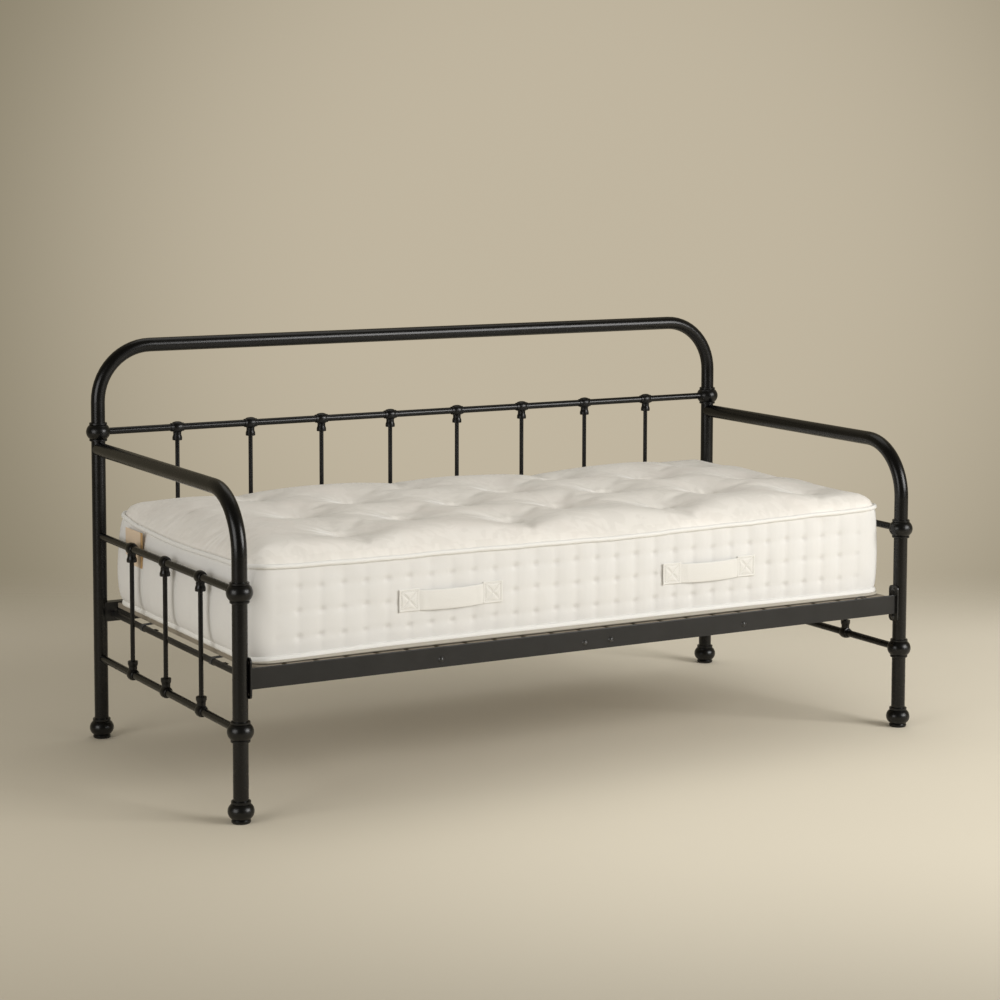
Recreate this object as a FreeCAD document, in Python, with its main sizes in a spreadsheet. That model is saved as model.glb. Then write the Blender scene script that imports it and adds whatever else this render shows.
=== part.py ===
import FreeCAD, Part
import math
import os
import Sketcher
from FreeCAD import Rotation, Vector

# Daybed of bent steel tube, in millimetres. +Z is up, the front faces -Y, and the origin is on
# the floor, midway between the four posts.

os.makedirs("parts", exist_ok=True)
doc = FreeCAD.newDocument("Daybed")

# ---- Driving dimensions -------------------------------------------------------------------

SIZES = (
    # Mattress, which the frame is built around
    ("mattress_length", 1900),
    ("mattress_width", 900),
    ("mattress_round", 50),
    ("mattress_side", 230),
    ("mattress_crown", 42),
    ("mattress_crown_inset", 80),
    ("mattress_shoulder", 25),
    ("mattress_shoulder_inset", 14),
    ("mattress_end_gap", 22),
    ("mattress_side_gap", 9),
    ("rest_gap", 0.3),
    # Tufts: hollows in the mattress's crown, in staggered rows
    ("tuft_count", 4),
    ("tuft_floor", 9),
    ("tuft_curve", 150),
    ("tuft_margin", 160),
    ("tuft_shift", 87.5),
    # Main tube: back hoop and arms
    ("tube_dia", 38),
    ("tube_wall", 2),
    ("bend_radius", 150),
    ("arm_height", 795),
    ("arm_straight", 62),
    ("arm_collar_gap", 3),
    ("hoop_straight", 56),
    ("arm_end_cut", 4),
    # Rails and spindles
    ("rail_dia", 19),
    ("rail_wall", 1.5),
    ("arm_low_height", 222),
    ("spindle_dia", 12),
    ("back_spindle_count", 8),
    ("back_spindle_margin", 228.5),
    ("arm_spindle_count", 3),
    ("arm_spindle_margin", 243),
    # Turned collars round the posts
    ("ball_wall", 13.5),
    ("ball_end_wall", 5.5),
    ("ball_half", 18),
    ("ring_wall", 5),
    ("ring_groove_wall", 3.8),
    ("ring_groove", 1),
    ("ring_rise", 7),
    ("edge_break", 0.8),
    ("socket_stop", 2),
    # Feet
    ("foot_sole_inset", 3),
    ("foot_rim_wall", 4.8),
    ("foot_neck_wall", 2.8),
    ("foot_rim_low", 3),
    ("foot_rim_band", 3),
    ("foot_neck_drop", 3),
    ("foot_neck_gap", 2.5),
    ("foot_ball_half", 17),
    ("foot_ring", 8.5),
    ("foot_floor", 10),
    # Cast sockets that hold the spindles to the rails
    ("sleeve_wall", 6.5),
    ("sleeve_end_wall", 4.5),
    ("sleeve_half", 11.5),
    ("sleeve_step", 1),
    ("bead_wall", 2.3),
    ("bead_length", 7.5),
    ("socket_waist_wall", 5.2),
    ("socket_rim_wall", 7.5),
    ("socket_shoulder", 4),
    ("socket_root", 2.5),
    ("socket_length", 26.5),
    ("socket_rim_length", 8),
    ("socket_waist_length", 7),
    ("spindle_stop", 4.5),
    # Side rails
    ("side_rail_base", 323),
    ("side_rail_depth", 52),
    ("side_rail_thick", 3),
    ("side_rail_flange", 30),
    ("side_rail_round", 2),
    ("front_rail_offset", 12),
    ("back_rail_end_gap", 7),
    # End plates on the front posts
    ("plate_width", 38),
    ("plate_thick", 4),
    ("plate_rise", 1),
    ("plate_round", 12),
    ("plate_bolt_margin", 12),
    ("plate_bolt_edge", 12),
    # Slat ledges
    ("ledge_width", 25),
    ("ledge_thick", 3),
    ("ledge_drop", 17),
    ("ledge_end_gap", 3),
    ("ledge_middle_gap", 12),
    # Bolts, nuts and inserts
    ("bolt_dia", 8),
    ("bolt_clearance", 0.4),
    ("bolt_head_dia", 16),
    ("bolt_head_rise", 5),
    ("bolt_reach", 14),
    ("nut_width", 13),
    ("nut_thick", 6.5),
    ("insert_dia", 12),
    ("insert_length", 12),
    ("ledge_bolt_drop", 15),
    ("ledge_bolt_inner", 39.5),
    ("ledge_bolt_outer", 458),
    # End bars
    ("end_bar_dia", 16),
    ("end_bar_wall", 1.5),
    ("end_bar_drop", 15),
    ("end_bar_gap", 1),
    # Slats and their tapes
    ("slat_count", 23),
    ("slat_end_margin", 20.5),
    ("slat_width", 72),
    ("slat_thick", 14),
    ("slat_end_gap", 1),
    ("slat_round", 3),
    ("tape_width", 20),
    ("tape_thick", 1.5),
    ("tape_spacing", 470),
    ("tape_slope", 110),
    ("tape_tail", 38),
    # Slat clip on the front rail
    ("clip_end_gap", 121),
    ("clip_width", 42),
    ("clip_rise", 7),
    ("clip_leg", 4),
    ("clip_inner_rise", 4.5),
    ("clip_thick", 3),
    # The mattress's handles and its tag
    ("handle_place", 390),
    ("handle_shift", 19.5),
    ("handle_length", 295),
    ("handle_patch", 57),
    ("handle_patch_thick", 2),
    ("handle_strap", 48),
    ("handle_bow", 9),
    ("handle_thick", 2.5),
    ("handle_rise", 119.7),
    ("tag_margin", 143),
    ("tag_width", 110),
    ("tag_tall", 95),
    ("tag_thick", 1.2),
    ("tag_drop", 52),
)

sheet = doc.addObject("Spreadsheet::Sheet", "Sizes")
for row, (alias, size) in enumerate(SIZES, start=1):
    sheet.set("A%d" % row, alias)
    sheet.set("B%d" % row, str(size))
    sheet.setAlias("B%d" % row, alias)
doc.recompute()

# ---- Sizes that are worked out from others --------------------------------------------------

TUBE_R = "Sizes.tube_dia / 2"
RAIL_R = "Sizes.rail_dia / 2"
MATTRESS_X = "Sizes.mattress_length / 2"
MATTRESS_Y = "Sizes.mattress_width / 2"

# Posts, and the faces that the mattress lies between
PLATE_FACE = "(Sizes.mattress_length / 2 + Sizes.mattress_end_gap)"
POST_X = "(%s + Sizes.plate_thick + Sizes.tube_dia / 2)" % PLATE_FACE
BACK_INNER = "(Sizes.mattress_width / 2 + Sizes.mattress_side_gap)"
POST_Y = "(%s + Sizes.tube_dia / 2)" % BACK_INNER

# Heights of the rails on the posts, from the arm's height
RING_HALF = "(Sizes.ball_half + Sizes.ring_rise)"
ARM_MID = "(Sizes.arm_height - Sizes.bend_radius - Sizes.arm_straight - %s)" % RING_HALF
BACK_MID = ("(Sizes.arm_height + Sizes.tube_dia / 2 + Sizes.arm_collar_gap + %s)" % RING_HALF)
HOOP_TOP = "(%s + %s + Sizes.hoop_straight + Sizes.bend_radius)" % (BACK_MID, RING_HALF)

# Collars and feet
BALL_R = "(Sizes.tube_dia / 2 + Sizes.ball_wall)"
BALL_END_R = "(Sizes.tube_dia / 2 + Sizes.ball_end_wall)"
RING_R = "(Sizes.tube_dia / 2 + Sizes.ring_wall)"
GROOVE_R = "(Sizes.tube_dia / 2 + Sizes.ring_groove_wall)"
SOCKET_FLOOR = "(Sizes.tube_dia / 2 + Sizes.socket_stop)"

# Spindles and their castings
BACK_PITCH = ("((2 * %s - 2 * Sizes.back_spindle_margin) / (Sizes.back_spindle_count - 1))"
              % POST_X)
ARM_PITCH = ("((2 * %s - 2 * Sizes.arm_spindle_margin) / (Sizes.arm_spindle_count - 1))"
             % POST_Y)
BEAD_R = "(Sizes.rail_dia / 2 + Sizes.bead_wall)"
BEAD_HALF = "(Sizes.sleeve_half + Sizes.bead_length)"
SLEEVE_END_R = "(Sizes.rail_dia / 2 + Sizes.sleeve_end_wall)"
SOCKET_END = "(Sizes.rail_dia / 2 + Sizes.socket_length)"
SPINDLE_STOP = "(Sizes.rail_dia / 2 + Sizes.spindle_stop)"
WAIST_R = "(Sizes.spindle_dia / 2 + Sizes.socket_waist_wall)"
RIM_R = "(Sizes.spindle_dia / 2 + Sizes.socket_rim_wall)"

# Side rails, plates and what lies between them
RAIL_TOP = "(Sizes.side_rail_base + Sizes.side_rail_depth)"
FRONT_FACE = "(%s + Sizes.front_rail_offset)" % POST_Y
FRONT_INNER = "(%s - Sizes.side_rail_thick)" % FRONT_FACE
PLATE_CENTRE = "(Sizes.side_rail_base + Sizes.side_rail_depth / 2 + Sizes.plate_rise)"
BOLT_GAP = "(Sizes.side_rail_depth + 2 * Sizes.plate_bolt_margin)"
PLATE_TALL = "(%s + 2 * Sizes.plate_bolt_edge)" % BOLT_GAP
LEDGE_TOP = "(%s - Sizes.ledge_drop)" % RAIL_TOP
LEDGE_BOLT_Z = "(%s - Sizes.ledge_bolt_drop)" % LEDGE_TOP
END_BAR_X = "(%s - Sizes.end_bar_gap - Sizes.end_bar_dia / 2)" % PLATE_FACE
END_BAR_Z = "(%s - Sizes.end_bar_drop)" % LEDGE_TOP
LEDGE_END = "(%s - Sizes.end_bar_dia / 2 - Sizes.ledge_end_gap)" % END_BAR_X
LEDGE_LENGTH = "(%s - Sizes.ledge_middle_gap)" % LEDGE_END
LEDGE_CENTRE = "((%s + Sizes.ledge_middle_gap) / 2)" % LEDGE_END
SLAT_PITCH = ("((2 * (%s - Sizes.slat_end_margin) - Sizes.slat_width) / (Sizes.slat_count - 1))"
              % PLATE_FACE)
MATTRESS_BASE = "(%s + Sizes.slat_thick + Sizes.rest_gap)" % LEDGE_TOP
TUFT_PITCH = "(Sizes.mattress_length / Sizes.tuft_count)"
TUFT_ROW = "((Sizes.mattress_width - 2 * Sizes.tuft_margin) / 4)"

pieces = []


def keep(piece, name):
    """Names a finished piece and puts it on the list of pieces to write."""
    piece.Label = name
    pieces.append(piece)
    return piece


def value(size):
    """The number that a size works out to."""
    return float(sheet.evalExpression(size.replace("Sizes.", "")))


# ---- Helpers for bodies and sketches --------------------------------------------------------


def origin_item(body, role):
    return [item for item in body.Origin.OriginFeatures if item.Role == role][0]


def new_body(name, x="0", y="0", z="0", turn=None):
    """A body whose Placement follows the sheet."""
    body = doc.addObject("PartDesign::Body", name)
    body.Placement.Rotation = turn or Rotation()
    for axis, size in (("x", x), ("y", y), ("z", z)):
        body.setExpression("Placement.Base." + axis, size)
    return body


def new_sketch(body, name, role, lift=None):
    """A sketch on one of the body's own origin planes, lifted off it along its normal."""
    sketch = body.newObject("Sketcher::SketchObject", name)
    sketch.AttachmentSupport = [(origin_item(body, role), "")]
    sketch.MapMode = "FlatFace"
    if lift:
        sketch.setExpression("AttachmentOffset.Base.z", lift)
    return sketch


def bind(sketch, kind, where, size):
    """Adds a constraint and ties its value to the sheet."""
    index = sketch.addConstraint(Sketcher.Constraint(kind, *where, value(size)))
    sketch.setExpression("Constraints[%d]" % index, size)


def place_point(sketch, edge, end, x, y):
    if x == "0":
        sketch.addConstraint(Sketcher.Constraint("PointOnObject", edge, end, -2))
    else:
        bind(sketch, "DistanceX", (-1, 1, edge, end), x)
    if y == "0":
        sketch.addConstraint(Sketcher.Constraint("PointOnObject", edge, end, -1))
    else:
        bind(sketch, "DistanceY", (-1, 1, edge, end), y)


def add_circle(sketch, x, y, dia):
    circle = Part.Circle(Vector(value(x), value(y), 0), Vector(0, 0, 1), value(dia) / 2)
    index = sketch.addGeometry(circle, False)
    bind(sketch, "Diameter", (index,), dia)
    place_point(sketch, index, 3, x, y)


def add_ring(sketch, x, y, dia, wall):
    """The section of a tube."""
    add_circle(sketch, x, y, dia)
    add_circle(sketch, x, y, "%s - 2 * %s" % (dia, wall))


def arc_between(start, end, radius, outward):
    """An arc from start to end that bulges out of, or into, an outline drawn anticlockwise."""
    chord = end.sub(start)
    middle = start.add(end).multiply(0.5)
    height = math.sqrt(max(radius ** 2 - (chord.Length / 2) ** 2, 0))
    left = Vector(-chord.y, chord.x, 0).normalize()
    centre = middle.add(left.multiply(height if outward else -height))
    circle = Part.Circle(centre, Vector(0, 0, 1), radius)
    first, last = (start, end) if outward else (end, start)
    first_angle = math.atan2(first.y - centre.y, first.x - centre.x)
    last_angle = math.atan2(last.y - centre.y, last.x - centre.x)
    if last_angle < first_angle:
        last_angle += 2 * math.pi
    return Part.ArcOfCircle(circle, first_angle, last_angle)


def add_outline(sketch, corners):
    """A closed outline drawn anticlockwise through corners, each one an (x, y) pair of sizes.

    A corner with a third size starts an arc of that radius. It bulges outwards, or inwards when
    a fourth item says so.
    """
    spots = [Vector(value(corner[0]), value(corner[1]), 0) for corner in corners]
    start_ends = []
    for number, corner in enumerate(corners):
        start = spots[number]
        end = spots[(number + 1) % len(spots)]
        if len(corner) == 2:
            index = sketch.addGeometry(Part.LineSegment(start, end), False)
            start_ends.append((index, 1, 2))
            continue
        outward = len(corner) == 3
        index = sketch.addGeometry(arc_between(start, end, value(corner[2]), outward), False)
        start_ends.append((index, 1, 2) if outward else (index, 2, 1))
        bind(sketch, "Radius", (index,), corner[2])
    for number, (index, start_end, far_end) in enumerate(start_ends):
        after, after_start, _ = start_ends[(number + 1) % len(start_ends)]
        sketch.addConstraint(
            Sketcher.Constraint("Coincident", index, far_end, after, after_start))
        place_point(sketch, index, start_end, corners[number][0], corners[number][1])


def add_box_outline(sketch, left, right, low, high, radius=None):
    """A rectangle, with rounded corners where a radius is given."""
    if radius is None:
        add_outline(sketch, ((left, low), (right, low), (right, high), (left, high)))
        return
    add_outline(sketch, (
        (left + " + " + radius, low),
        (right + " - " + radius, low, radius),
        (right, low + " + " + radius),
        (right, high + " - " + radius, radius),
        (right + " - " + radius, high),
        (left + " + " + radius, high, radius),
        (left, high + " - " + radius),
        (left, low + " + " + radius, radius),
    ))


def add_bent_path(sketch, corners, radius):
    """An open path of level and upright runs, with the same bend at every corner."""
    spots = [Vector(value(x), value(y), 0) for x, y in corners]
    bend = value(radius)
    ahead = [spots[i + 1].sub(spots[i]).normalize() for i in range(len(spots) - 1)]
    runs = []
    for number, direction in enumerate(ahead):
        start = Vector(spots[number])
        end = Vector(spots[number + 1])
        if number > 0:
            start = start.add(Vector(direction).multiply(bend))
        if number < len(ahead) - 1:
            end = end.sub(Vector(direction).multiply(bend))
        index = sketch.addGeometry(Part.LineSegment(start, end), False)
        runs.append((index, start, end))
        upright = abs(direction.y) > abs(direction.x)
        sketch.addConstraint(Sketcher.Constraint("Vertical" if upright else "Horizontal", index))
        if upright:
            bind(sketch, "DistanceX", (-1, 1, index, 1), corners[number][0])
        else:
            bind(sketch, "DistanceY", (-1, 1, index, 1), corners[number][1])
        for end_number, corner in ((1, corners[number]), (2, corners[number + 1])):
            at_path_end = (number == 0) if end_number == 1 else (number == len(ahead) - 1)
            if at_path_end and upright:
                bind(sketch, "DistanceY", (-1, 1, index, end_number), corner[1])
            elif at_path_end:
                bind(sketch, "DistanceX", (-1, 1, index, end_number), corner[0])
    for number in range(len(runs) - 1):
        before, _, start = runs[number]
        after, end, _ = runs[number + 1]
        turn_left = ahead[number].cross(ahead[number + 1]).z > 0
        arc = sketch.addGeometry(arc_between(start, end, bend, turn_left), False)
        first, last = (1, 2) if turn_left else (2, 1)
        sketch.addConstraint(Sketcher.Constraint("Tangent", before, 2, arc, first))
        sketch.addConstraint(Sketcher.Constraint("Tangent", arc, last, after, 1))
        bind(sketch, "Radius", (arc,), radius)


def add_turning_line(sketch, start, end, direction):
    """The construction line that a turned piece is revolved about."""
    spots = [Vector(value(x), value(y), 0) for x, y in (start, end)]
    line = sketch.addGeometry(Part.LineSegment(*spots), True)
    sketch.addConstraint(Sketcher.Constraint(direction, line))
    place_point(sketch, line, 1, *start)
    along = end[0] if direction == "Horizontal" else end[1]
    kind = "DistanceX" if direction == "Horizontal" else "DistanceY"
    bind(sketch, kind, (-1, 1, line, 2), along)


# ---- Helpers for features -------------------------------------------------------------------


def pad(body, sketch, length, name="Pad", both_ways=False, backwards=False):
    feature = body.newObject("PartDesign::Pad", name)
    feature.Profile = sketch
    if both_ways:
        feature.SideType = "Symmetric"
    feature.Reversed = backwards
    feature.setExpression("Length", length)
    return feature


def pocket(body, sketch, name, length=None, forwards=False):
    """A cut through everything both ways, or to a length against the sketch's normal."""
    feature = body.newObject("PartDesign::Pocket", name)
    feature.Profile = sketch
    if length is None:
        feature.Type = "ThroughAll"
        feature.SideType = "Symmetric"
    else:
        feature.Reversed = forwards
        feature.setExpression("Length", length)
    return feature


def turned(body, sketch, axis="V_Axis", name="Turned"):
    feature = body.newObject("PartDesign::Revolution", name)
    feature.Profile = sketch
    feature.ReferenceAxis = (sketch, [axis])
    feature.Angle = 360
    return feature


def piped(body, section, path):
    feature = body.newObject("PartDesign::AdditivePipe", "Bent")
    feature.Profile = section
    feature.Spine = path
    return feature


def in_a_row(body, axis, count, pitch):
    """Repeats the whole body so far along one of its axes."""
    doc.recompute()
    feature = body.newObject("PartDesign::LinearPattern", "Row")
    feature.TransformMode = "Whole shape"
    feature.Direction = (origin_item(body, axis), [""])
    feature.setExpression("Length", "(%s - 1) * %s" % (count, pitch))
    feature.setExpression("Occurrences", count)
    body.Tip = feature
    return feature


def mirrored(body, role):
    """Adds the mirror image of the whole body so far."""
    doc.recompute()
    feature = body.newObject("PartDesign::Mirrored", "Mirror")
    feature.TransformMode = "Whole shape"
    feature.MirrorPlane = (origin_item(body, role), [""])
    body.Tip = feature
    return feature


def bulge_radius(half, rise):
    """The radius of an arc with this half chord and rise."""
    return "((%s) ^ 2 + (%s) ^ 2) / (2 * (%s))" % (half, rise, rise)


BALL_ARC = bulge_radius("Sizes.ball_half", "Sizes.ball_wall - Sizes.ball_end_wall")
FOOT_ARC = bulge_radius("Sizes.foot_ball_half", "Sizes.ball_wall - Sizes.ball_end_wall")
SLEEVE_ARC = bulge_radius("Sizes.sleeve_half", "Sizes.sleeve_wall - Sizes.sleeve_end_wall")
CLIP_ARC = bulge_radius("Sizes.clip_width / 2", "Sizes.clip_rise")
CLIP_INNER_ARC = bulge_radius("Sizes.clip_width / 2 - Sizes.clip_leg", "Sizes.clip_inner_rise")

# Which way each side lies along X, and the sign to write before a size there
SIDES = (("left", -1, "-"), ("right", 1, ""))

# ---- Back hoop ------------------------------------------------------------------------------


def make_back_hoop():
    hoop = new_body("back_hoop", y=POST_Y)
    path = new_sketch(hoop, "HoopPath", "XZ_Plane")
    add_bent_path(path, (
        ("-" + POST_X, "Sizes.foot_floor"),
        ("-" + POST_X, HOOP_TOP),
        (POST_X, HOOP_TOP),
        (POST_X, "Sizes.foot_floor"),
    ), "Sizes.bend_radius")
    section = new_sketch(hoop, "HoopSection", "XY_Plane", "Sizes.foot_floor")
    add_ring(section, "-" + POST_X, "0", "Sizes.tube_dia", "Sizes.tube_wall")
    piped(hoop, section, path)
    keep(hoop, "back_hoop")


# ---- Arms: each one bends down to be a front post ---------------------------------------------


def make_arm(side, way, sign):
    arm = new_body(side + "_arm", x=sign + POST_X)
    path = new_sketch(arm, "ArmPath", "YZ_Plane")
    add_bent_path(path, (
        ("-" + POST_Y, "Sizes.foot_floor"),
        ("-" + POST_Y, "Sizes.arm_height"),
        (POST_Y + " - Sizes.arm_end_cut", "Sizes.arm_height"),
    ), "Sizes.bend_radius")
    section = new_sketch(arm, "ArmSection", "XY_Plane", "Sizes.foot_floor")
    add_ring(section, "0", "-" + POST_Y, "Sizes.tube_dia", "Sizes.tube_wall")
    piped(arm, section, path)
    # The far end is coped to sit round the back post
    cope = new_sketch(arm, "PostRound", "XY_Plane")
    add_circle(cope, "0", POST_Y, "Sizes.tube_dia")
    pocket(arm, cope, "Cope")
    # Holes in the inner wall for the end plate's inserts
    holes = new_sketch(arm, "InsertHoles", "YZ_Plane")
    for up in (" - %s / 2" % BOLT_GAP, " + %s / 2" % BOLT_GAP):
        add_circle(holes, "-" + POST_Y, PLATE_CENTRE + up, "Sizes.insert_dia")
    pocket(arm, holes, "InsertCuts", TUBE_R + " + Sizes.tube_wall", forwards=(way < 0))
    keep(arm, side + "_arm")


# ---- Rails ----------------------------------------------------------------------------------


def make_back_mid_rail():
    rail = new_body("back_mid_rail", y=POST_Y, z=BACK_MID)
    section = new_sketch(rail, "Section", "YZ_Plane")
    add_ring(section, "0", "0", "Sizes.rail_dia", "Sizes.rail_wall")
    pad(rail, section, "2 * (%s - %s)" % (POST_X, SOCKET_FLOOR), both_ways=True)
    keep(rail, "back_mid_rail")


def make_arm_rail(side, sign, level, height):
    """A level tube from the front post's collar to the back post, where it is coped."""
    rail = new_body("%s_arm_%s_rail" % (side, level), x=sign + POST_X, z=height)
    section = new_sketch(rail, "Section", "XZ_Plane", POST_Y + " - " + SOCKET_FLOOR)
    add_ring(section, "0", "0", "Sizes.rail_dia", "Sizes.rail_wall")
    pad(rail, section, "2 * %s - %s - %s + %s" % (POST_Y, SOCKET_FLOOR, TUBE_R, RAIL_R),
        backwards=True)
    cope = new_sketch(rail, "PostRound", "XY_Plane")
    add_circle(cope, "0", POST_Y, "Sizes.tube_dia")
    pocket(rail, cope, "Cope")
    keep(rail, "%s_arm_%s_rail" % (side, level))


# ---- Spindles -------------------------------------------------------------------------------


def make_spindle(name, x, y, low, high):
    rod = doc.addObject("Part::Cylinder", name)
    rod.setExpression("Radius", "Sizes.spindle_dia / 2")
    rod.setExpression("Height", "(%s) - (%s)" % (high, low))
    for axis, size in (("x", x), ("y", y), ("z", low)):
        rod.setExpression("Placement.Base." + axis, size)
    keep(rod, name)


def make_spindles():
    for number in range(int(value("Sizes.back_spindle_count"))):
        x = "(%d - (Sizes.back_spindle_count - 1) / 2) * %s" % (number, BACK_PITCH)
        make_spindle("back_spindle_%d" % (number + 1), x, POST_Y, RAIL_TOP,
                     BACK_MID + " - " + SPINDLE_STOP)
    for side, _, sign in SIDES:
        for number in range(int(value("Sizes.arm_spindle_count"))):
            y = "(%d - (Sizes.arm_spindle_count - 1) / 2) * %s" % (number, ARM_PITCH)
            make_spindle("%s_arm_spindle_%d" % (side, number + 1), sign + POST_X, y,
                         "Sizes.arm_low_height + " + SPINDLE_STOP,
                         ARM_MID + " - " + SPINDLE_STOP)


# ---- Cast sockets ---------------------------------------------------------------------------


def make_castings(name, count, pitch, x, y, z, turn):
    """A row of castings: a sleeve on the rail, and a socket below it for the spindle."""
    casting = new_body(name, x, y, z, turn)
    first = "(%s - 1) / 2 * %s" % (count, pitch)
    sleeve = new_sketch(casting, "SleeveOutline", "XZ_Plane")
    axis = "-" + first
    bead_top = BEAD_R + " - Sizes.edge_break"
    add_outline(sleeve, (
        ("%s + %s" % (axis, BEAD_HALF), RAIL_R),
        ("%s + %s" % (axis, BEAD_HALF), bead_top),
        ("%s + %s - Sizes.edge_break" % (axis, BEAD_HALF), BEAD_R),
        (axis + " + Sizes.sleeve_half + Sizes.sleeve_step", BEAD_R),
        (axis + " + Sizes.sleeve_half", SLEEVE_END_R, SLEEVE_ARC),
        (axis + " - Sizes.sleeve_half", SLEEVE_END_R),
        (axis + " - Sizes.sleeve_half - Sizes.sleeve_step", BEAD_R),
        ("%s - %s + Sizes.edge_break" % (axis, BEAD_HALF), BEAD_R),
        ("%s - %s" % (axis, BEAD_HALF), bead_top),
        ("%s - %s" % (axis, BEAD_HALF), RAIL_R),
    ))
    turned(casting, sleeve, "H_Axis", "Sleeve")
    socket = new_sketch(casting, "SocketOutline", "XZ_Plane")
    root = "-%s - Sizes.socket_root" % RAIL_R
    add_outline(socket, (
        (axis, "-" + SOCKET_END),
        ("%s + %s - Sizes.edge_break" % (axis, RIM_R), "-" + SOCKET_END),
        ("%s + %s" % (axis, RIM_R), "-%s + Sizes.edge_break" % SOCKET_END),
        ("%s + %s" % (axis, RIM_R), "-%s + Sizes.socket_rim_length" % SOCKET_END),
        ("%s + %s" % (axis, WAIST_R),
         "-%s - Sizes.socket_waist_length" % SPINDLE_STOP),
        ("%s + %s" % (axis, WAIST_R), "-" + SPINDLE_STOP),
        (axis + " + Sizes.spindle_dia / 2 + Sizes.socket_shoulder", root),
        (axis, root),
    ))
    add_turning_line(socket, (axis, "-" + SOCKET_END), (axis, "0"), "Vertical")
    turned(casting, socket, "Axis0", "Socket")
    bore = new_sketch(casting, "SpindleBore", "XY_Plane", "-" + SPINDLE_STOP)
    add_circle(bore, axis, "0", "Sizes.spindle_dia")
    pocket(casting, bore, "Bore", SOCKET_END)
    in_a_row(casting, "X_Axis", count, pitch)
    keep(casting, name)


def make_all_castings():
    make_castings("back_castings", "Sizes.back_spindle_count", BACK_PITCH,
                  "0", POST_Y, BACK_MID, Rotation())
    along_arm = Rotation(Vector(0, 0, 1), 90)
    upside_down = Rotation(Vector(1, 0, 0), 180)
    for side, _, sign in SIDES:
        make_castings(side + "_arm_upper_castings", "Sizes.arm_spindle_count",
                      ARM_PITCH, sign + POST_X, "0", ARM_MID,
                      along_arm)
        make_castings(side + "_arm_lower_castings", "Sizes.arm_spindle_count",
                      ARM_PITCH, sign + POST_X, "0", "Sizes.arm_low_height",
                      along_arm.multiply(upside_down))


# ---- Ball collars and ball feet ---------------------------------------------------------------


def make_collar(name, x, y, z, angle):
    """A ball between two rings, bored for the post, with a socket for the rail's end."""
    collar = new_body(name, x, y, z, Rotation(Vector(0, 0, 1), angle))
    outline = new_sketch(collar, "Outline", "XZ_Plane")
    add_outline(outline, (
        (TUBE_R, "-" + RING_HALF),
        (RING_R + " - Sizes.edge_break", "-" + RING_HALF),
        (RING_R, "-%s + Sizes.edge_break" % RING_HALF),
        (RING_R, "-Sizes.ball_half - 2 * Sizes.ring_groove"),
        (GROOVE_R, "-Sizes.ball_half - Sizes.ring_groove"),
        (BALL_END_R, "-Sizes.ball_half", BALL_ARC),
        (BALL_END_R, "Sizes.ball_half"),
        (GROOVE_R, "Sizes.ball_half + Sizes.ring_groove"),
        (RING_R, "Sizes.ball_half + 2 * Sizes.ring_groove"),
        (RING_R, RING_HALF + " - Sizes.edge_break"),
        (RING_R + " - Sizes.edge_break", RING_HALF),
        (TUBE_R, RING_HALF),
    ))
    turned(collar, outline)
    socket = new_sketch(collar, "RailSocket", "YZ_Plane", SOCKET_FLOOR)
    add_circle(socket, "0", "0", "Sizes.rail_dia")
    pocket(collar, socket, "Socket", BALL_R, forwards=True)
    keep(collar, name)


def make_collars():
    make_collar("back_left_collar", "-" + POST_X, POST_Y, BACK_MID, 0)
    make_collar("back_right_collar", POST_X, POST_Y, BACK_MID, 180)
    for side, _, sign in SIDES:
        make_collar("front_%s_upper_collar" % side, sign + POST_X, "-" + POST_Y,
                    ARM_MID, 90)
        make_collar("front_%s_lower_collar" % side, sign + POST_X, "-" + POST_Y,
                    "Sizes.arm_low_height", 90)


def make_foot(name, x, y):
    """A ball foot with a ring and a rim, bored part way up from the sole for the post."""
    foot = new_body(name, x, y)
    outline = new_sketch(foot, "Outline", "XZ_Plane")
    rim = TUBE_R + " + Sizes.foot_rim_wall"
    rim_high = "Sizes.foot_rim_low + Sizes.foot_rim_band"
    neck = rim_high + " + Sizes.foot_neck_drop"
    ball_low = neck + " + Sizes.foot_neck_gap"
    ball_high = ball_low + " + 2 * Sizes.foot_ball_half"
    top = ball_high + " + Sizes.foot_ring"
    add_outline(outline, (
        ("0", "0"),
        (TUBE_R + " + Sizes.foot_sole_inset", "0"),
        (rim, "Sizes.foot_rim_low"),
        (rim, rim_high),
        (TUBE_R + " + Sizes.foot_neck_wall", neck),
        (BALL_END_R, ball_low, FOOT_ARC),
        (BALL_END_R, ball_high),
        (GROOVE_R, ball_high + " + Sizes.ring_groove"),
        (RING_R, ball_high + " + 2 * Sizes.ring_groove"),
        (RING_R, top + " - Sizes.edge_break"),
        (RING_R + " - Sizes.edge_break", top),
        (TUBE_R, top),
        (TUBE_R, "Sizes.foot_floor"),
        ("0", "Sizes.foot_floor"),
    ))
    turned(foot, outline)
    keep(foot, name)


def make_feet():
    for side, _, sign in SIDES:
        make_foot("front_%s_foot" % side, sign + POST_X, "-" + POST_Y)
        make_foot("back_%s_foot" % side, sign + POST_X, POST_Y)


# ---- Side rails, end plates and ledges --------------------------------------------------------


def add_ledge_bolt_holes(sketch, height):
    for sign in ("-", ""):
        for place in ("Sizes.ledge_bolt_inner", "Sizes.ledge_bolt_outer"):
            add_circle(sketch, sign + place, height, "Sizes.bolt_dia + Sizes.bolt_clearance")


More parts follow.
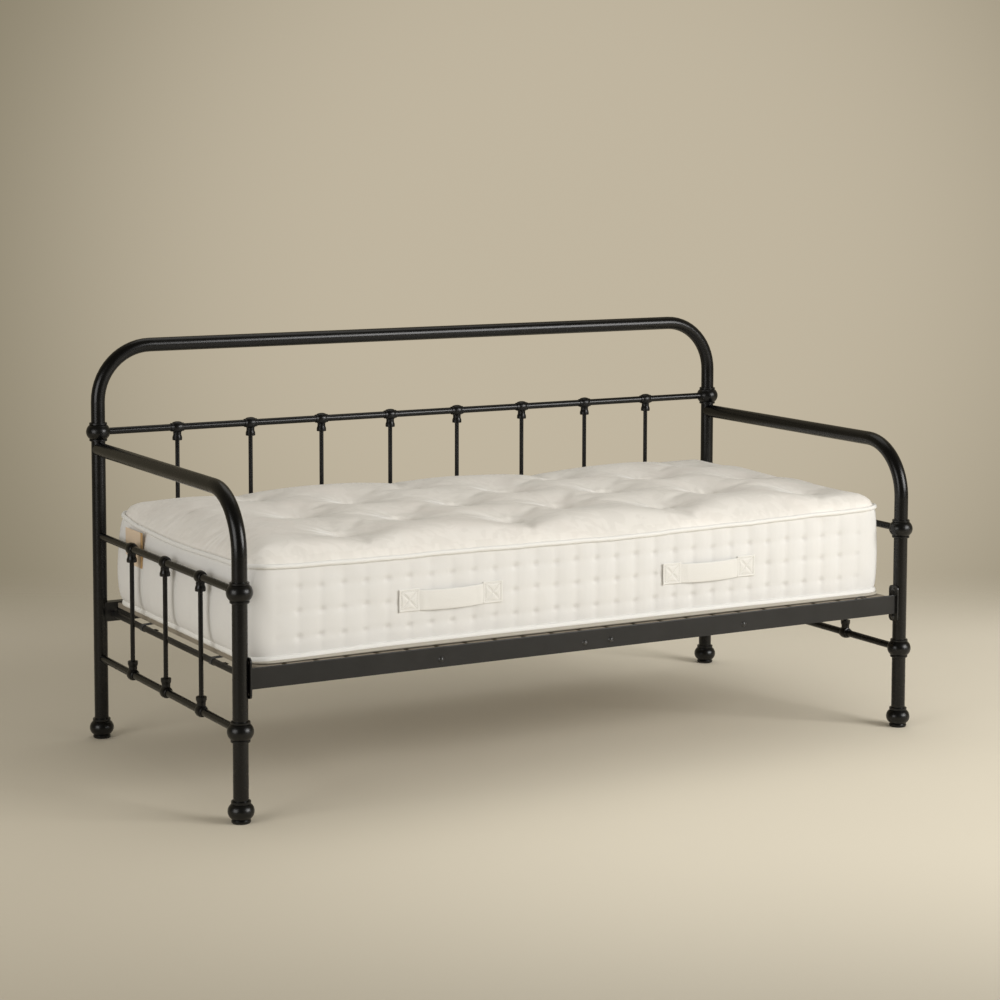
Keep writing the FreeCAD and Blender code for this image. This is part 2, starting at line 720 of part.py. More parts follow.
def make_front_side_rail():
    """An angle with its tall leg outwards and its flange inwards along the bottom."""
    rail = new_body("front_side_rail", z="Sizes.side_rail_base")
    section = new_sketch(rail, "Section", "YZ_Plane")
    add_outline(section, (
        ("-" + FRONT_FACE, "0"),
        ("-" + FRONT_FACE + " + Sizes.side_rail_flange", "0"),
        ("-" + FRONT_FACE + " + Sizes.side_rail_flange", "Sizes.side_rail_thick"),
        ("-" + FRONT_INNER, "Sizes.side_rail_thick"),
        ("-" + FRONT_INNER, "Sizes.side_rail_depth"),
        ("-" + FRONT_FACE + " + Sizes.side_rail_round", "Sizes.side_rail_depth",
         "Sizes.side_rail_round"),
        ("-" + FRONT_FACE, "Sizes.side_rail_depth - Sizes.side_rail_round"),
    ))
    pad(rail, section, "2 * " + PLATE_FACE, both_ways=True)
    holes = new_sketch(rail, "LedgeBoltHoles", "XZ_Plane")
    add_ledge_bolt_holes(holes, LEDGE_BOLT_Z + " - Sizes.side_rail_base")
    pocket(rail, holes, "BoltCuts")
    keep(rail, "front_side_rail")


def make_back_side_rail():
    """An angle between the back posts, with its flange outwards under the back spindles."""
    rail = new_body("back_side_rail", z="Sizes.side_rail_base")
    section = new_sketch(rail, "Section", "YZ_Plane")
    outer = BACK_INNER + " + Sizes.side_rail_thick"
    add_outline(section, (
        (BACK_INNER, "0"),
        (outer, "0"),
        (outer, "Sizes.side_rail_depth - Sizes.side_rail_thick"),
        (BACK_INNER + " + Sizes.side_rail_flange",
         "Sizes.side_rail_depth - Sizes.side_rail_thick"),
        (BACK_INNER + " + Sizes.side_rail_flange", "Sizes.side_rail_depth"),
        (BACK_INNER, "Sizes.side_rail_depth"),
    ))
    pad(rail, section, "2 * (%s - Sizes.back_rail_end_gap)" % POST_X, both_ways=True)
    holes = new_sketch(rail, "LedgeBoltHoles", "XZ_Plane")
    add_ledge_bolt_holes(holes, LEDGE_BOLT_Z + " - Sizes.side_rail_base")
    pocket(rail, holes, "BoltCuts")
    # The ends are coped to the posts
    rounds = new_sketch(rail, "PostRounds", "XY_Plane")
    add_circle(rounds, "-" + POST_X, POST_Y, "Sizes.tube_dia")
    add_circle(rounds, POST_X, POST_Y, "Sizes.tube_dia")
    pocket(rail, rounds, "Copes")
    keep(rail, "back_side_rail")


def make_end_plate(side, way, sign):
    """The plate at the end of the front rail, bolted to the inner side of the front post."""
    plate = new_body("front_%s_end_plate" % side, x=sign + PLATE_FACE, y="-" + POST_Y,
                     z=PLATE_CENTRE)
    face = new_sketch(plate, "Face", "YZ_Plane")
    add_box_outline(face, "-Sizes.plate_width / 2", "Sizes.plate_width / 2",
                    "-%s / 2" % PLATE_TALL, PLATE_TALL + " / 2", "Sizes.plate_round")
    for sign_up in ("-", ""):
        add_circle(face, "0", sign_up + BOLT_GAP + " / 2",
                   "Sizes.bolt_dia + Sizes.bolt_clearance")
    pad(plate, face, "Sizes.plate_thick", backwards=(way < 0))
    keep(plate, "front_%s_end_plate" % side)


def make_ledge(name, x, y, hand, turn):
    """A short angle inside a side rail, which the slats' ends lie on."""
    ledge = new_body(name, x, y, LEDGE_TOP, turn)
    section = new_sketch(ledge, "Section", "YZ_Plane")
    add_outline(section, (
        ("0", "-Sizes.ledge_width"),
        ("Sizes.ledge_thick", "-Sizes.ledge_width"),
        ("Sizes.ledge_thick", "-Sizes.ledge_thick"),
        ("Sizes.ledge_width", "-Sizes.ledge_thick"),
        ("Sizes.ledge_width", "0"),
        ("0", "0"),
    ))
    pad(ledge, section, LEDGE_LENGTH, both_ways=True)
    holes = new_sketch(ledge, "BoltHoles", "XZ_Plane")
    for place in ("Sizes.ledge_bolt_inner", "Sizes.ledge_bolt_outer"):
        add_circle(holes, "%s(%s - %s)" % (hand, LEDGE_CENTRE, place),
                   "-Sizes.ledge_bolt_drop",
                   "Sizes.bolt_dia + Sizes.bolt_clearance")
    pocket(ledge, holes, "BoltCuts")
    keep(ledge, name)


def make_ledges():
    half_turn = Rotation(Vector(0, 0, 1), 180)
    for side, way, sign in SIDES:
        make_ledge("front_%s_ledge" % side, sign + LEDGE_CENTRE, "-" + FRONT_INNER,
                   "-" if way > 0 else "", Rotation())
        make_ledge("back_%s_ledge" % side, sign + LEDGE_CENTRE, BACK_INNER,
                   "" if way > 0 else "-", half_turn)


def make_end_bar(side, sign):
    """A round tube across each end of the bed, between the two side rails."""
    bar = new_body(side + "_end_bar", x=sign + END_BAR_X, z=END_BAR_Z)
    section = new_sketch(bar, "Section", "XZ_Plane", FRONT_INNER)
    add_ring(section, "0", "0", "Sizes.end_bar_dia", "Sizes.end_bar_wall")
    pad(bar, section, FRONT_INNER + " + " + BACK_INNER, backwards=True)
    keep(bar, side + "_end_bar")


# ---- Bolts, nuts and inserts ------------------------------------------------------------------


def make_ledge_bolts():
    """Dome-headed bolts through both side rails, their heads on the rails' outer faces."""
    middle = "(%s + Sizes.side_rail_thick - %s) / 2" % (BACK_INNER, FRONT_FACE)
    seat = "(%s + Sizes.side_rail_thick + %s) / 2" % (BACK_INNER, FRONT_FACE)
    bolts = new_body("ledge_bolts", y=middle, z=LEDGE_BOLT_Z)
    outline = new_sketch(bolts, "BoltOutline", "XY_Plane")
    axis = "Sizes.ledge_bolt_inner"
    head_end = "-%s - Sizes.bolt_head_rise" % seat
    shank_end = "-%s + Sizes.bolt_reach" % seat
    add_outline(outline, (
        (axis, head_end, bulge_radius("Sizes.bolt_head_dia / 2", "Sizes.bolt_head_rise")),
        (axis + " + Sizes.bolt_head_dia / 2", "-" + seat),
        (axis + " + Sizes.bolt_dia / 2", "-" + seat),
        (axis + " + Sizes.bolt_dia / 2", shank_end),
        (axis, shank_end),
    ))
    add_turning_line(outline, (axis, head_end), (axis, shank_end), "Vertical")
    turned(bolts, outline, "Axis0")
    in_a_row(bolts, "X_Axis", "2", "(Sizes.ledge_bolt_outer - Sizes.ledge_bolt_inner)")
    mirrored(bolts, "YZ_Plane")
    mirrored(bolts, "XZ_Plane")
    keep(bolts, "ledge_bolts")

    nuts = new_body("ledge_nuts", y=middle, z=LEDGE_BOLT_Z)
    face = new_sketch(nuts, "NutFace", "XZ_Plane",
                      seat + " - Sizes.side_rail_thick - Sizes.ledge_thick")
    corner = "Sizes.nut_width / sqrt(3)"
    add_outline(face, (
        (axis + " + " + corner, "0"),
        (axis + " + %s / 2" % corner, "Sizes.nut_width / 2"),
        (axis + " - %s / 2" % corner, "Sizes.nut_width / 2"),
        (axis + " - " + corner, "0"),
        (axis + " - %s / 2" % corner, "-Sizes.nut_width / 2"),
        (axis + " + %s / 2" % corner, "-Sizes.nut_width / 2"),
    ))
    add_circle(face, axis, "0", "Sizes.bolt_dia")
    pad(nuts, face, "Sizes.nut_thick", backwards=True)
    in_a_row(nuts, "X_Axis", "2", "(Sizes.ledge_bolt_outer - Sizes.ledge_bolt_inner)")
    mirrored(nuts, "YZ_Plane")
    mirrored(nuts, "XZ_Plane")
    keep(nuts, "ledge_nuts")


def make_end_plate_bolts():
    """Two bolts through each end plate into inserts in the front post's wall."""
    bolts = new_body("end_plate_bolts", y="-" + POST_Y, z=PLATE_CENTRE)
    outline = new_sketch(bolts, "BoltOutline", "XZ_Plane")
    axis = BOLT_GAP + " / 2"
    head_end = PLATE_FACE + " - Sizes.bolt_head_rise"
    shank_end = PLATE_FACE + " + Sizes.bolt_reach"
    add_outline(outline, (
        (head_end, axis),
        (shank_end, axis),
        (shank_end, axis + " + Sizes.bolt_dia / 2"),
        (PLATE_FACE, axis + " + Sizes.bolt_dia / 2"),
        (PLATE_FACE, axis + " + Sizes.bolt_head_dia / 2",
         bulge_radius("Sizes.bolt_head_dia / 2", "Sizes.bolt_head_rise")),
    ))
    add_turning_line(outline, (head_end, axis), (shank_end, axis), "Horizontal")
    turned(bolts, outline, "Axis0")
    mirrored(bolts, "XY_Plane")
    mirrored(bolts, "YZ_Plane")
    keep(bolts, "end_plate_bolts")

    inserts = new_body("post_inserts", y="-" + POST_Y, z=PLATE_CENTRE)
    face = new_sketch(inserts, "InsertFace", "YZ_Plane", POST_X + " - " + TUBE_R)
    add_circle(face, "0", axis, "Sizes.insert_dia")
    add_circle(face, "0", axis, "Sizes.bolt_dia")
    pad(inserts, face, "Sizes.insert_length")
    mirrored(inserts, "XY_Plane")
    mirrored(inserts, "YZ_Plane")
    keep(inserts, "post_inserts")


# ---- Slats, tapes and clip --------------------------------------------------------------------


def make_slats():
    slats = new_body("slats", y="(%s - %s) / 2" % (BACK_INNER, FRONT_INNER),
                     z=LEDGE_TOP)
    section = new_sketch(slats, "Section", "XZ_Plane")
    first = "(Sizes.slat_count - 1) / 2 * " + SLAT_PITCH
    add_box_outline(section, "-%s - Sizes.slat_width / 2" % first,
                    "-%s + Sizes.slat_width / 2" % first, "0", "Sizes.slat_thick",
                    "Sizes.slat_round")
    pad(slats, section, "%s + %s - 2 * Sizes.slat_end_gap" % (BACK_INNER, FRONT_INNER),
        both_ways=True)
    in_a_row(slats, "X_Axis", "Sizes.slat_count", SLAT_PITCH)
    keep(slats, "slats")


def make_slat_tapes():
    """Webbing under the slats that wraps round the end bars, with its tail turned back in."""
    tapes = new_body("slat_tapes", y="-Sizes.tape_spacing / 2")
    level = value(LEDGE_TOP + " - Sizes.tape_thick / 2")
    bend = value("Sizes.end_bar_dia / 2 + Sizes.tape_thick / 2")
    bar_x = value(END_BAR_X)
    bar_z = value(END_BAR_Z)
    turn_x = value(END_BAR_X + " - Sizes.tape_slope")
    tail_end = END_BAR_X + " - Sizes.tape_tail"
    reach = math.hypot(bar_x - turn_x, level - bar_z)
    meet = math.atan2(level - bar_z, turn_x - bar_x) - math.acos(bend / reach)
    touch = Vector(bar_x + bend * math.cos(meet), bar_z + bend * math.sin(meet), 0)
    path = new_sketch(tapes, "TapePath", "XZ_Plane")
    flat = path.addGeometry(Part.LineSegment(Vector(0, level, 0), Vector(turn_x, level, 0)))
    slope = path.addGeometry(Part.LineSegment(Vector(turn_x, level, 0), touch))
    circle = Part.Circle(Vector(bar_x, bar_z, 0), Vector(0, 0, 1), bend)
    wrap = path.addGeometry(Part.ArcOfCircle(circle, -math.pi / 2, meet))
    tail = path.addGeometry(Part.LineSegment(
        Vector(bar_x, bar_z - bend, 0), Vector(value(tail_end), bar_z - bend, 0)))
    place_point(path, flat, 1, "0", LEDGE_TOP + " - Sizes.tape_thick / 2")
    path.addConstraint(Sketcher.Constraint("Horizontal", flat))
    bind(path, "DistanceX", (-1, 1, flat, 2), END_BAR_X + " - Sizes.tape_slope")
    path.addConstraint(Sketcher.Constraint("Coincident", flat, 2, slope, 1))
    path.addConstraint(Sketcher.Constraint("Tangent", slope, 2, wrap, 2))
    place_point(path, wrap, 3, END_BAR_X, END_BAR_Z)
    bind(path, "Radius", (wrap,), "Sizes.end_bar_dia / 2 + Sizes.tape_thick / 2")
    path.addConstraint(Sketcher.Constraint("Tangent", wrap, 1, tail, 1))
    path.addConstraint(Sketcher.Constraint("Horizontal", tail))
    bind(path, "DistanceX", (-1, 1, tail, 2), tail_end)
    section = new_sketch(tapes, "TapeSection", "YZ_Plane")
    add_box_outline(section, "-Sizes.tape_width / 2", "Sizes.tape_width / 2",
                    LEDGE_TOP + " - Sizes.tape_thick", LEDGE_TOP)
    feature = piped(tapes, section, path)
    feature.Transition = "Right corner"
    mirrored(tapes, "YZ_Plane")
    in_a_row(tapes, "Y_Axis", "2", "Sizes.tape_spacing")
    keep(tapes, "slat_tapes")


def make_slat_clip():
    """A small arch on top of the front rail's leg."""
    clip = new_body("slat_clip", PLATE_FACE + " - Sizes.clip_end_gap", "-" + FRONT_INNER,
                    RAIL_TOP)
    face = new_sketch(clip, "Arch", "XZ_Plane")
    half = "Sizes.clip_width / 2"
    add_outline(face, (
        (half, "0", CLIP_ARC),
        ("-" + half, "0"),
        ("-%s + Sizes.clip_leg" % half, "0", CLIP_INNER_ARC, "inwards"),
        (half + " - Sizes.clip_leg", "0"),
    ))
    pad(clip, face, "Sizes.clip_thick")
    keep(clip, "slat_clip")


# ---- Mattress -------------------------------------------------------------------------------


def add_level(body, name, rise, inset):
    """The mattress's rounded outline at this rise over its side, drawn in by the inset."""
    level = new_sketch(body, name, "XY_Plane", "Sizes.mattress_side + " + rise)
    across = "%s - %s" % (MATTRESS_X, inset)
    deep = "%s - %s" % (MATTRESS_Y, inset)
    add_box_outline(level, "-" + MATTRESS_X + " + " + inset, across,
                    "-" + MATTRESS_Y + " + " + inset, deep, "Sizes.mattress_round")
    return level


def add_tuft_row(body, number, y, x):
    """One row of round hollows, each one turned about its own upright line."""
    outline = new_sketch(body, "TuftOutline%d" % number, "XZ_Plane", y)
    floor = "Sizes.mattress_side + Sizes.tuft_floor"
    height = "(Sizes.mattress_crown - Sizes.tuft_floor + 2)"
    lip = floor + " + " + height
    reach = "sqrt(2 * Sizes.tuft_curve * %s - %s ^ 2)" % (height, height)
    add_outline(outline, (
        (x, floor, "Sizes.tuft_curve"),
        (x + " + " + reach, lip),
        (x, lip),
    ))
    add_turning_line(outline, (x, floor), (x, lip), "Vertical")
    hollow = body.newObject("PartDesign::Groove", "Tuft%d" % number)
    hollow.Profile = outline
    hollow.ReferenceAxis = (outline, ["Axis0"])
    hollow.Angle = 360
    doc.recompute()
    row = body.newObject("PartDesign::LinearPattern", "TuftRow%d" % number)
    row.Originals = [hollow]
    row.Direction = (origin_item(body, "X_Axis"), [""])
    row.setExpression("Length", "(Sizes.tuft_count - 1) * " + TUFT_PITCH)
    row.setExpression("Occurrences", "Sizes.tuft_count")
    body.Tip = row


def make_mattress():
    """A closed block with rounded corners, a crown with a steep shoulder, and tuft hollows."""
    mattress = new_body("mattress", z=MATTRESS_BASE)
    base = new_sketch(mattress, "Base", "XY_Plane")
    add_box_outline(base, "-" + MATTRESS_X, MATTRESS_X, "-" + MATTRESS_Y, MATTRESS_Y,
                    "Sizes.mattress_round")
    pad(mattress, base, "Sizes.mattress_side")
    rim = add_level(mattress, "CrownRim", "0", "0")
    shoulder = add_level(mattress, "CrownShoulder", "Sizes.mattress_shoulder",
                         "Sizes.mattress_shoulder_inset")
    top = add_level(mattress, "CrownTop", "Sizes.mattress_crown", "Sizes.mattress_crown_inset")
    crown = mattress.newObject("PartDesign::AdditiveLoft", "Crown")
    crown.Profile = rim
    crown.Sections = [shoulder, top]
    crown.Ruled = True
    middle = "Sizes.tuft_shift - (Sizes.tuft_count - 1) / 2 * " + TUFT_PITCH
    for number, steps in enumerate((-2, -1, 0, 1, 2), start=1):
        start = middle if steps % 2 == 0 else middle + " - %s / 2" % TUFT_PITCH
        add_tuft_row(mattress, number, "%d * %s" % (-steps, TUFT_ROW), start)
    keep(mattress, "mattress")


def make_handle(side, sign):
    """A bowed strap between two patches sewn to the mattress's front face."""
    handle = new_body(side + "_handle", sign + "Sizes.handle_place - Sizes.handle_shift",
                      "-" + MATTRESS_Y, MATTRESS_BASE + " + Sizes.handle_rise")
    patches = new_sketch(handle, "Patches", "XY_Plane")
    end = "Sizes.handle_length / 2"
    depth = "-Sizes.handle_patch_thick"
    add_box_outline(patches, end + " - Sizes.handle_patch", end, depth, "0")
    add_box_outline(patches, "-" + end, "-" + end + " + Sizes.handle_patch", depth, "0")
    pad(handle, patches, "Sizes.handle_patch", both_ways=True)
    strap = new_sketch(handle, "Strap", "XY_Plane")
    half = "Sizes.handle_length / 2 - Sizes.handle_patch / 2"
    leg = "Sizes.handle_patch / 4"
    outer = bulge_radius(half, "Sizes.handle_bow + Sizes.handle_thick")
    inner = bulge_radius("%s - %s" % (half, leg), "Sizes.handle_bow")
    add_outline(strap, (
        ("-(%s)" % half, depth, outer),
        (half, depth),
        ("%s - %s" % (half, leg), depth, inner, "inwards"),
        ("-(%s) + %s" % (half, leg), depth),
    ))
    pad(handle, strap, "Sizes.handle_strap", both_ways=True)
    keep(handle, side + "_handle")


def make_tag():
    tag = new_body("mattress_tag", "-" + MATTRESS_X, MATTRESS_Y + " - Sizes.tag_margin",
                   MATTRESS_BASE + " + Sizes.mattress_side - Sizes.tag_drop")
    face = new_sketch(tag, "Face", "YZ_Plane")
    add_box_outline(face, "-Sizes.tag_width / 2", "Sizes.tag_width / 2",
                    "-Sizes.tag_tall / 2", "Sizes.tag_tall / 2")
    pad(tag, face, "Sizes.tag_thick", backwards=True)
    keep(tag, "mattress_tag")


# ---- Build, check and write -------------------------------------------------------------------

make_back_hoop()
make_back_mid_rail()
make_spindles()
make_all_castings()
make_collars()
make_feet()
make_front_side_rail()
make_back_side_rail()
make_ledges()
for side, way, sign in SIDES:
    make_arm(side, way, sign)
    make_arm_rail(side, sign, "mid", ARM_MID)
    make_arm_rail(side, sign, "lower", "Sizes.arm_low_height")
    make_end_plate(side, way, sign)
    make_end_bar(side, sign)
    make_handle(side, sign)
make_ledge_bolts()
make_end_plate_bolts()
make_slats()
make_slat_tapes()
make_slat_clip()
make_mattress()
make_tag()

doc.recompute()
for item in doc.Objects:
    if "Invalid" in item.State or "Error" in item.State:
        raise RuntimeError("%s did not recompute: %s" % (item.Label, item.State))
for piece in pieces:
    if piece.Shape.isNull() or not piece.Shape.isValid() or not piece.Shape.Solids:
        raise RuntimeError("%s has no valid solid" % piece.Label)
for piece in pieces:
    piece.Shape.exportStep("parts/%s.step" % piece.Label)
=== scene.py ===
"""Daybed with a black tube frame and a tufted mattress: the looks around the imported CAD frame."""

import math

import bpy
import numpy as np
from mathutils import Matrix, Vector


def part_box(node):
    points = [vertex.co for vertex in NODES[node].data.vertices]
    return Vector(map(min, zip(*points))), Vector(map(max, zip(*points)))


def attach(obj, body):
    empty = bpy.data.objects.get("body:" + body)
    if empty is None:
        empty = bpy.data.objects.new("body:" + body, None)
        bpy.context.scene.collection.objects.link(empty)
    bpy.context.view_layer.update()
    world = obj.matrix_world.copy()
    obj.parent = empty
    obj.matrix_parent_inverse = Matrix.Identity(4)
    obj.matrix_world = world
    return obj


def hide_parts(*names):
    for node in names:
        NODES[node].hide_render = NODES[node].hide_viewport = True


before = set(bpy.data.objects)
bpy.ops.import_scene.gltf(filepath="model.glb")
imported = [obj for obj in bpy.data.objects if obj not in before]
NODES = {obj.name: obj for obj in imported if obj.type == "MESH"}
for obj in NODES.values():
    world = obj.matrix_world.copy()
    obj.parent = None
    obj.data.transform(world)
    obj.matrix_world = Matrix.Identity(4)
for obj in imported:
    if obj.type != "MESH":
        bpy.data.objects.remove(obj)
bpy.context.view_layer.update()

# ---------------------------------------------------------------- sizes, in metres
# Heights named RISE are above the mattress's base; DIMPLE_ROWS are above the floor.
# BOTTOM_ROLL holds (how far out, share of the way down) for each loop under the bottom seam.
MATTRESS_LOW, MATTRESS_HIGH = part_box("mattress")
HALF_X = (MATTRESS_HIGH.x - MATTRESS_LOW.x) / 2 - 0.002
HALF_Y = (MATTRESS_HIGH.y - MATTRESS_LOW.y) / 2 - 0.002
BASE_Z = MATTRESS_LOW.z
CORNER_R = 0.050
GRID = 0.010
SEAM_RISE = 0.2302
TUFT_PITCH_X = 0.475
TUFT_ROW = 0.145
TUFT_SHIFT = 0.0875
TUFT_RISE = 0.2530
DIMPLE_PITCH = 0.0605
DIMPLE_FIRST = 0.0192
DIMPLE_ROWS = (0.4290, 0.4915, 0.5508)
TAPE_TALL, TAPE_THICK = 0.0064, 0.0058
BORDER_PUFF = 0.003
END_PUFF = 0.008
LEFT_BELLY = 0.009
BOTTOM_ROLL = ((0.0130, 0.22), (0.0185, 0.45), (0.0195, 0.72), (0.0120, 1.00))
TAPE_WIDE = 0.051
PATCH = 0.057
PATCH_INSET = PATCH / 2 - 0.0065
PATCH_PROUD = 0.0032
TAG_EXTRA_WIDE, TAG_FORWARD, TAG_EDGE_WIDE = 0.014, 0.028, 0.012
SLAT_PITCH = 1.831 / 22
TUFT_NECK, TUFT_BOWL = 0.034, 0.100
TUFT_HELD = 0.009
BORDER_ROWS = 22
SIM_FRAMES = 20
SIM_MOVE_CAP = 0.016
CORNER_STEPS = 12
OUTLINE_STEP = 0.012
STITCH_LONG, STITCH_PITCH, STITCH_THICK = 0.0034, 0.0043, 0.00045


# ---------------------------------------------------------------- small helpers
def deselect():
    if bpy.context.object and bpy.context.object.mode != "OBJECT":
        bpy.ops.object.mode_set(mode="OBJECT")
    bpy.ops.object.select_all(action="DESELECT")


def pick(obj):
    deselect()
    obj.select_set(True)
    bpy.context.view_layer.objects.active = obj


def settle(obj):
    """The object at the origin, unturned and unscaled, with its place in its mesh."""
    pick(obj)
    bpy.ops.object.transform_apply(location=True, rotation=True, scale=True)
    return obj


def apply_all(obj):
    pick(obj)
    for m in list(obj.modifiers):
        bpy.ops.object.modifier_apply(modifier=m.name)
    return obj


def coords(obj):
    co = np.empty(len(obj.data.vertices) * 3)
    obj.data.vertices.foreach_get("co", co)
    return co.reshape(-1, 3)


def set_coords(obj, co):
    obj.data.vertices.foreach_set("co", np.asarray(co, dtype=np.float32).ravel())
    obj.data.update()


def step(a, b, v):
    """A smooth rise from 0 at a to 1 at b; b may be the smaller."""
    t = np.clip((v - a) / (b - a), 0, 1)
    return t * t * (3 - 2 * t)


def corners_and_sizes(mesh):
    """The vertex of every face corner, and how many corners each face has."""
    loop_v = np.empty(len(mesh.loops), int)
    mesh.loops.foreach_get("vertex_index", loop_v)
    size = np.empty(len(mesh.polygons), int)
    mesh.polygons.foreach_get("loop_total", size)
    return loop_v, size


# ---------------------------------------------------------------- materials
class Recipe:
    """A material's nodes, with short names for what is used often."""

    def __init__(self, name):
        self.mat = bpy.data.materials.new(name)
        self.mat.use_nodes = True
        self.tree = self.mat.node_tree
        self.shader = self.tree.nodes["Principled BSDF"]
        self.where = self.add("ShaderNodeTexCoord").outputs["Object"]

    def add(self, kind, **values):
        node = self.tree.nodes.new(kind)
        for k, v in values.items():
            setattr(node, k, v)
        return node

    def link(self, a, b):
        self.tree.links.new(a, b)

    def put(self, node, name, value):
        if hasattr(value, "is_output"):
            self.link(value, node.inputs[name])
        else:
            node.inputs[name].default_value = value

    def stretch(self, x, y, z, turn=0.0, source=None):
        node = self.add("ShaderNodeMapping")
        self.link(source or self.where, node.inputs["Vector"])
        node.inputs["Scale"].default_value = (x, y, z)
        node.inputs["Rotation"].default_value = (0, 0, turn)
        return node.outputs["Vector"]

    def noise(self, scale, detail=2.0, rough=0.5, bend=0.0, vector=None, w=None):
        node = self.add("ShaderNodeTexNoise")
        if w is not None:
            node.noise_dimensions = "4D"
            self.put(node, "W", w)
        self.link(vector or self.where, node.inputs["Vector"])
        self.put(node, "Scale", scale)
        self.put(node, "Detail", detail)
        self.put(node, "Roughness", rough)
        self.put(node, "Distortion", bend)
        return node.outputs["Fac"]

    def wave(self, scale, direction="X", vector=None):
        node = self.add("ShaderNodeTexWave", bands_direction=direction)
        self.link(vector or self.where, node.inputs["Vector"])
        self.put(node, "Scale", scale)
        return node.outputs["Fac"]

    def math(self, kind, a, b=0.0):
        node = self.add("ShaderNodeMath", operation=kind)
        self.put(node, 0, a)
        self.put(node, 1, b)
        return node.outputs[0]

    def attribute(self, name):
        return self.add("ShaderNodeAttribute", attribute_name=name).outputs["Fac"]

    def along(self, x, y):
        """How far a point lies from the origin in a level direction."""
        node = self.add("ShaderNodeVectorMath", operation="DOT_PRODUCT")
        self.link(self.where, node.inputs[0])
        node.inputs[1].default_value = (x, y, 0)
        return node.outputs["Value"]

    def ease(self, value, low, high, top=1.0):
        """A smooth rise from 0 at low to top at high."""
        node = self.add("ShaderNodeMapRange", interpolation_type="SMOOTHSTEP")
        for k, v in (("Value", value), ("From Min", low), ("From Max", high), ("To Max", top)):
            self.put(node, k, v)
        return node.outputs["Result"]

    def fit(self, value, low, high, out_low, out_high):
        node = self.add("ShaderNodeMapRange")
        for k, v in (("Value", value), ("From Min", low), ("From Max", high),
                     ("To Min", out_low), ("To Max", out_high)):
            self.put(node, k, v)
        return node.outputs["Result"]

    def tint(self, fac, a, b):
        node = self.add("ShaderNodeMix", data_type="RGBA")
        self.put(node, 0, fac)
        for i, v in ((6, a), (7, b)):
            if hasattr(v, "is_output"):
                self.link(v, node.inputs[i])
            else:
                node.inputs[i].default_value = (*v, 1)
        return node.outputs[2]

    def bump(self, height, distance, strength=1.0, under=None):
        node = self.add("ShaderNodeBump")
        self.put(node, "Height", height)
        self.put(node, "Distance", distance)
        self.put(node, "Strength", strength)
        if under is not None:
            self.link(under, node.inputs["Normal"])
        return node.outputs["Normal"]

    def finish(self, colour, rough, normal=None, **fixed):
        self.link(colour, self.shader.inputs["Base Color"])
        self.link(rough, self.shader.inputs["Roughness"])
        if normal is not None:
            self.link(normal, self.shader.inputs["Normal"])
        for k, v in fixed.items():
            self.shader.inputs[k.replace("_", " ")].default_value = v
        return self.mat


def satin_black(name, dark, light, rough, gleam, cast=0.0):
    r = Recipe(name)
    colour = r.tint(r.fit(r.noise(14, 3), 0.35, 0.65, 0, 1), dark, light)
    gloss = r.fit(r.noise(34, 4, 0.6), 0.3, 0.7, rough - 0.03, rough + 0.04)
    normal = r.bump(r.noise(260, 2), 0.00008, 0.05)
    if cast:
        normal = r.bump(r.noise(150, 4, 0.6), cast, 0.6, normal)
    return r.finish(colour, gloss, normal, Specular_IOR_Level=gleam)


def plated(name):
    r = Recipe(name)
    colour = r.tint(r.noise(60, 3), (0.46, 0.45, 0.42), (0.62, 0.61, 0.58))
    rough = r.fit(r.noise(220, 3), 0.3, 0.7, 0.24, 0.42)
    return r.finish(colour, rough, r.bump(r.noise(500, 2), 0.0001, 0.3), Metallic=1.0)


def birch_in_painted_shade(name):
    """Each slat takes its own tone and its own run of grain, from its place along the bed. Every
    tone is darkened as painted shade, for slats that lie in shade under the mattress.
    """
    r = Recipe(name)
    split = r.add("ShaderNodeSeparateXYZ")
    r.link(r.where, split.inputs[0])
    slat = r.math("ROUND", r.math("DIVIDE", split.outputs["X"], SLAT_PITCH))
    own = r.math("MULTIPLY", slat, 3.71)
    grain = r.noise(1.0, 6, 0.62, 0.5, r.stretch(95, 2.6, 95), own)
    pores = r.noise(1.0, 2, 0.5, 0.0, r.stretch(900, 16, 900), own)
    broad = r.noise(1.0, 2, 0.5, 0.3, r.stretch(9, 0.9, 9), own)
    # Painted shade: every wood tone here is darker than birch in full light.
    base = r.tint(r.fit(grain, 0.32, 0.7, 0, 1), (0.32, 0.28, 0.22), (0.25, 0.21, 0.16))
    base = r.tint(r.fit(broad, 0.35, 0.7, 0, 0.5), base, (0.35, 0.305, 0.245))
    tone = r.add("ShaderNodeTexWhiteNoise", noise_dimensions="1D")
    r.link(own, tone.inputs["W"])
    base = r.tint(r.math("MULTIPLY", tone.outputs["Value"], 0.28), base, (0.275, 0.235, 0.18))
    base = r.tint(r.fit(pores, 0.62, 0.74, 0, 0.35), base, (0.19, 0.155, 0.115))
    rough = r.fit(grain, 0.3, 0.7, 0.46, 0.60)
    return r.finish(base, rough, r.bump(pores, 0.00025, 0.35, r.bump(grain, 0.0005, 0.25)))


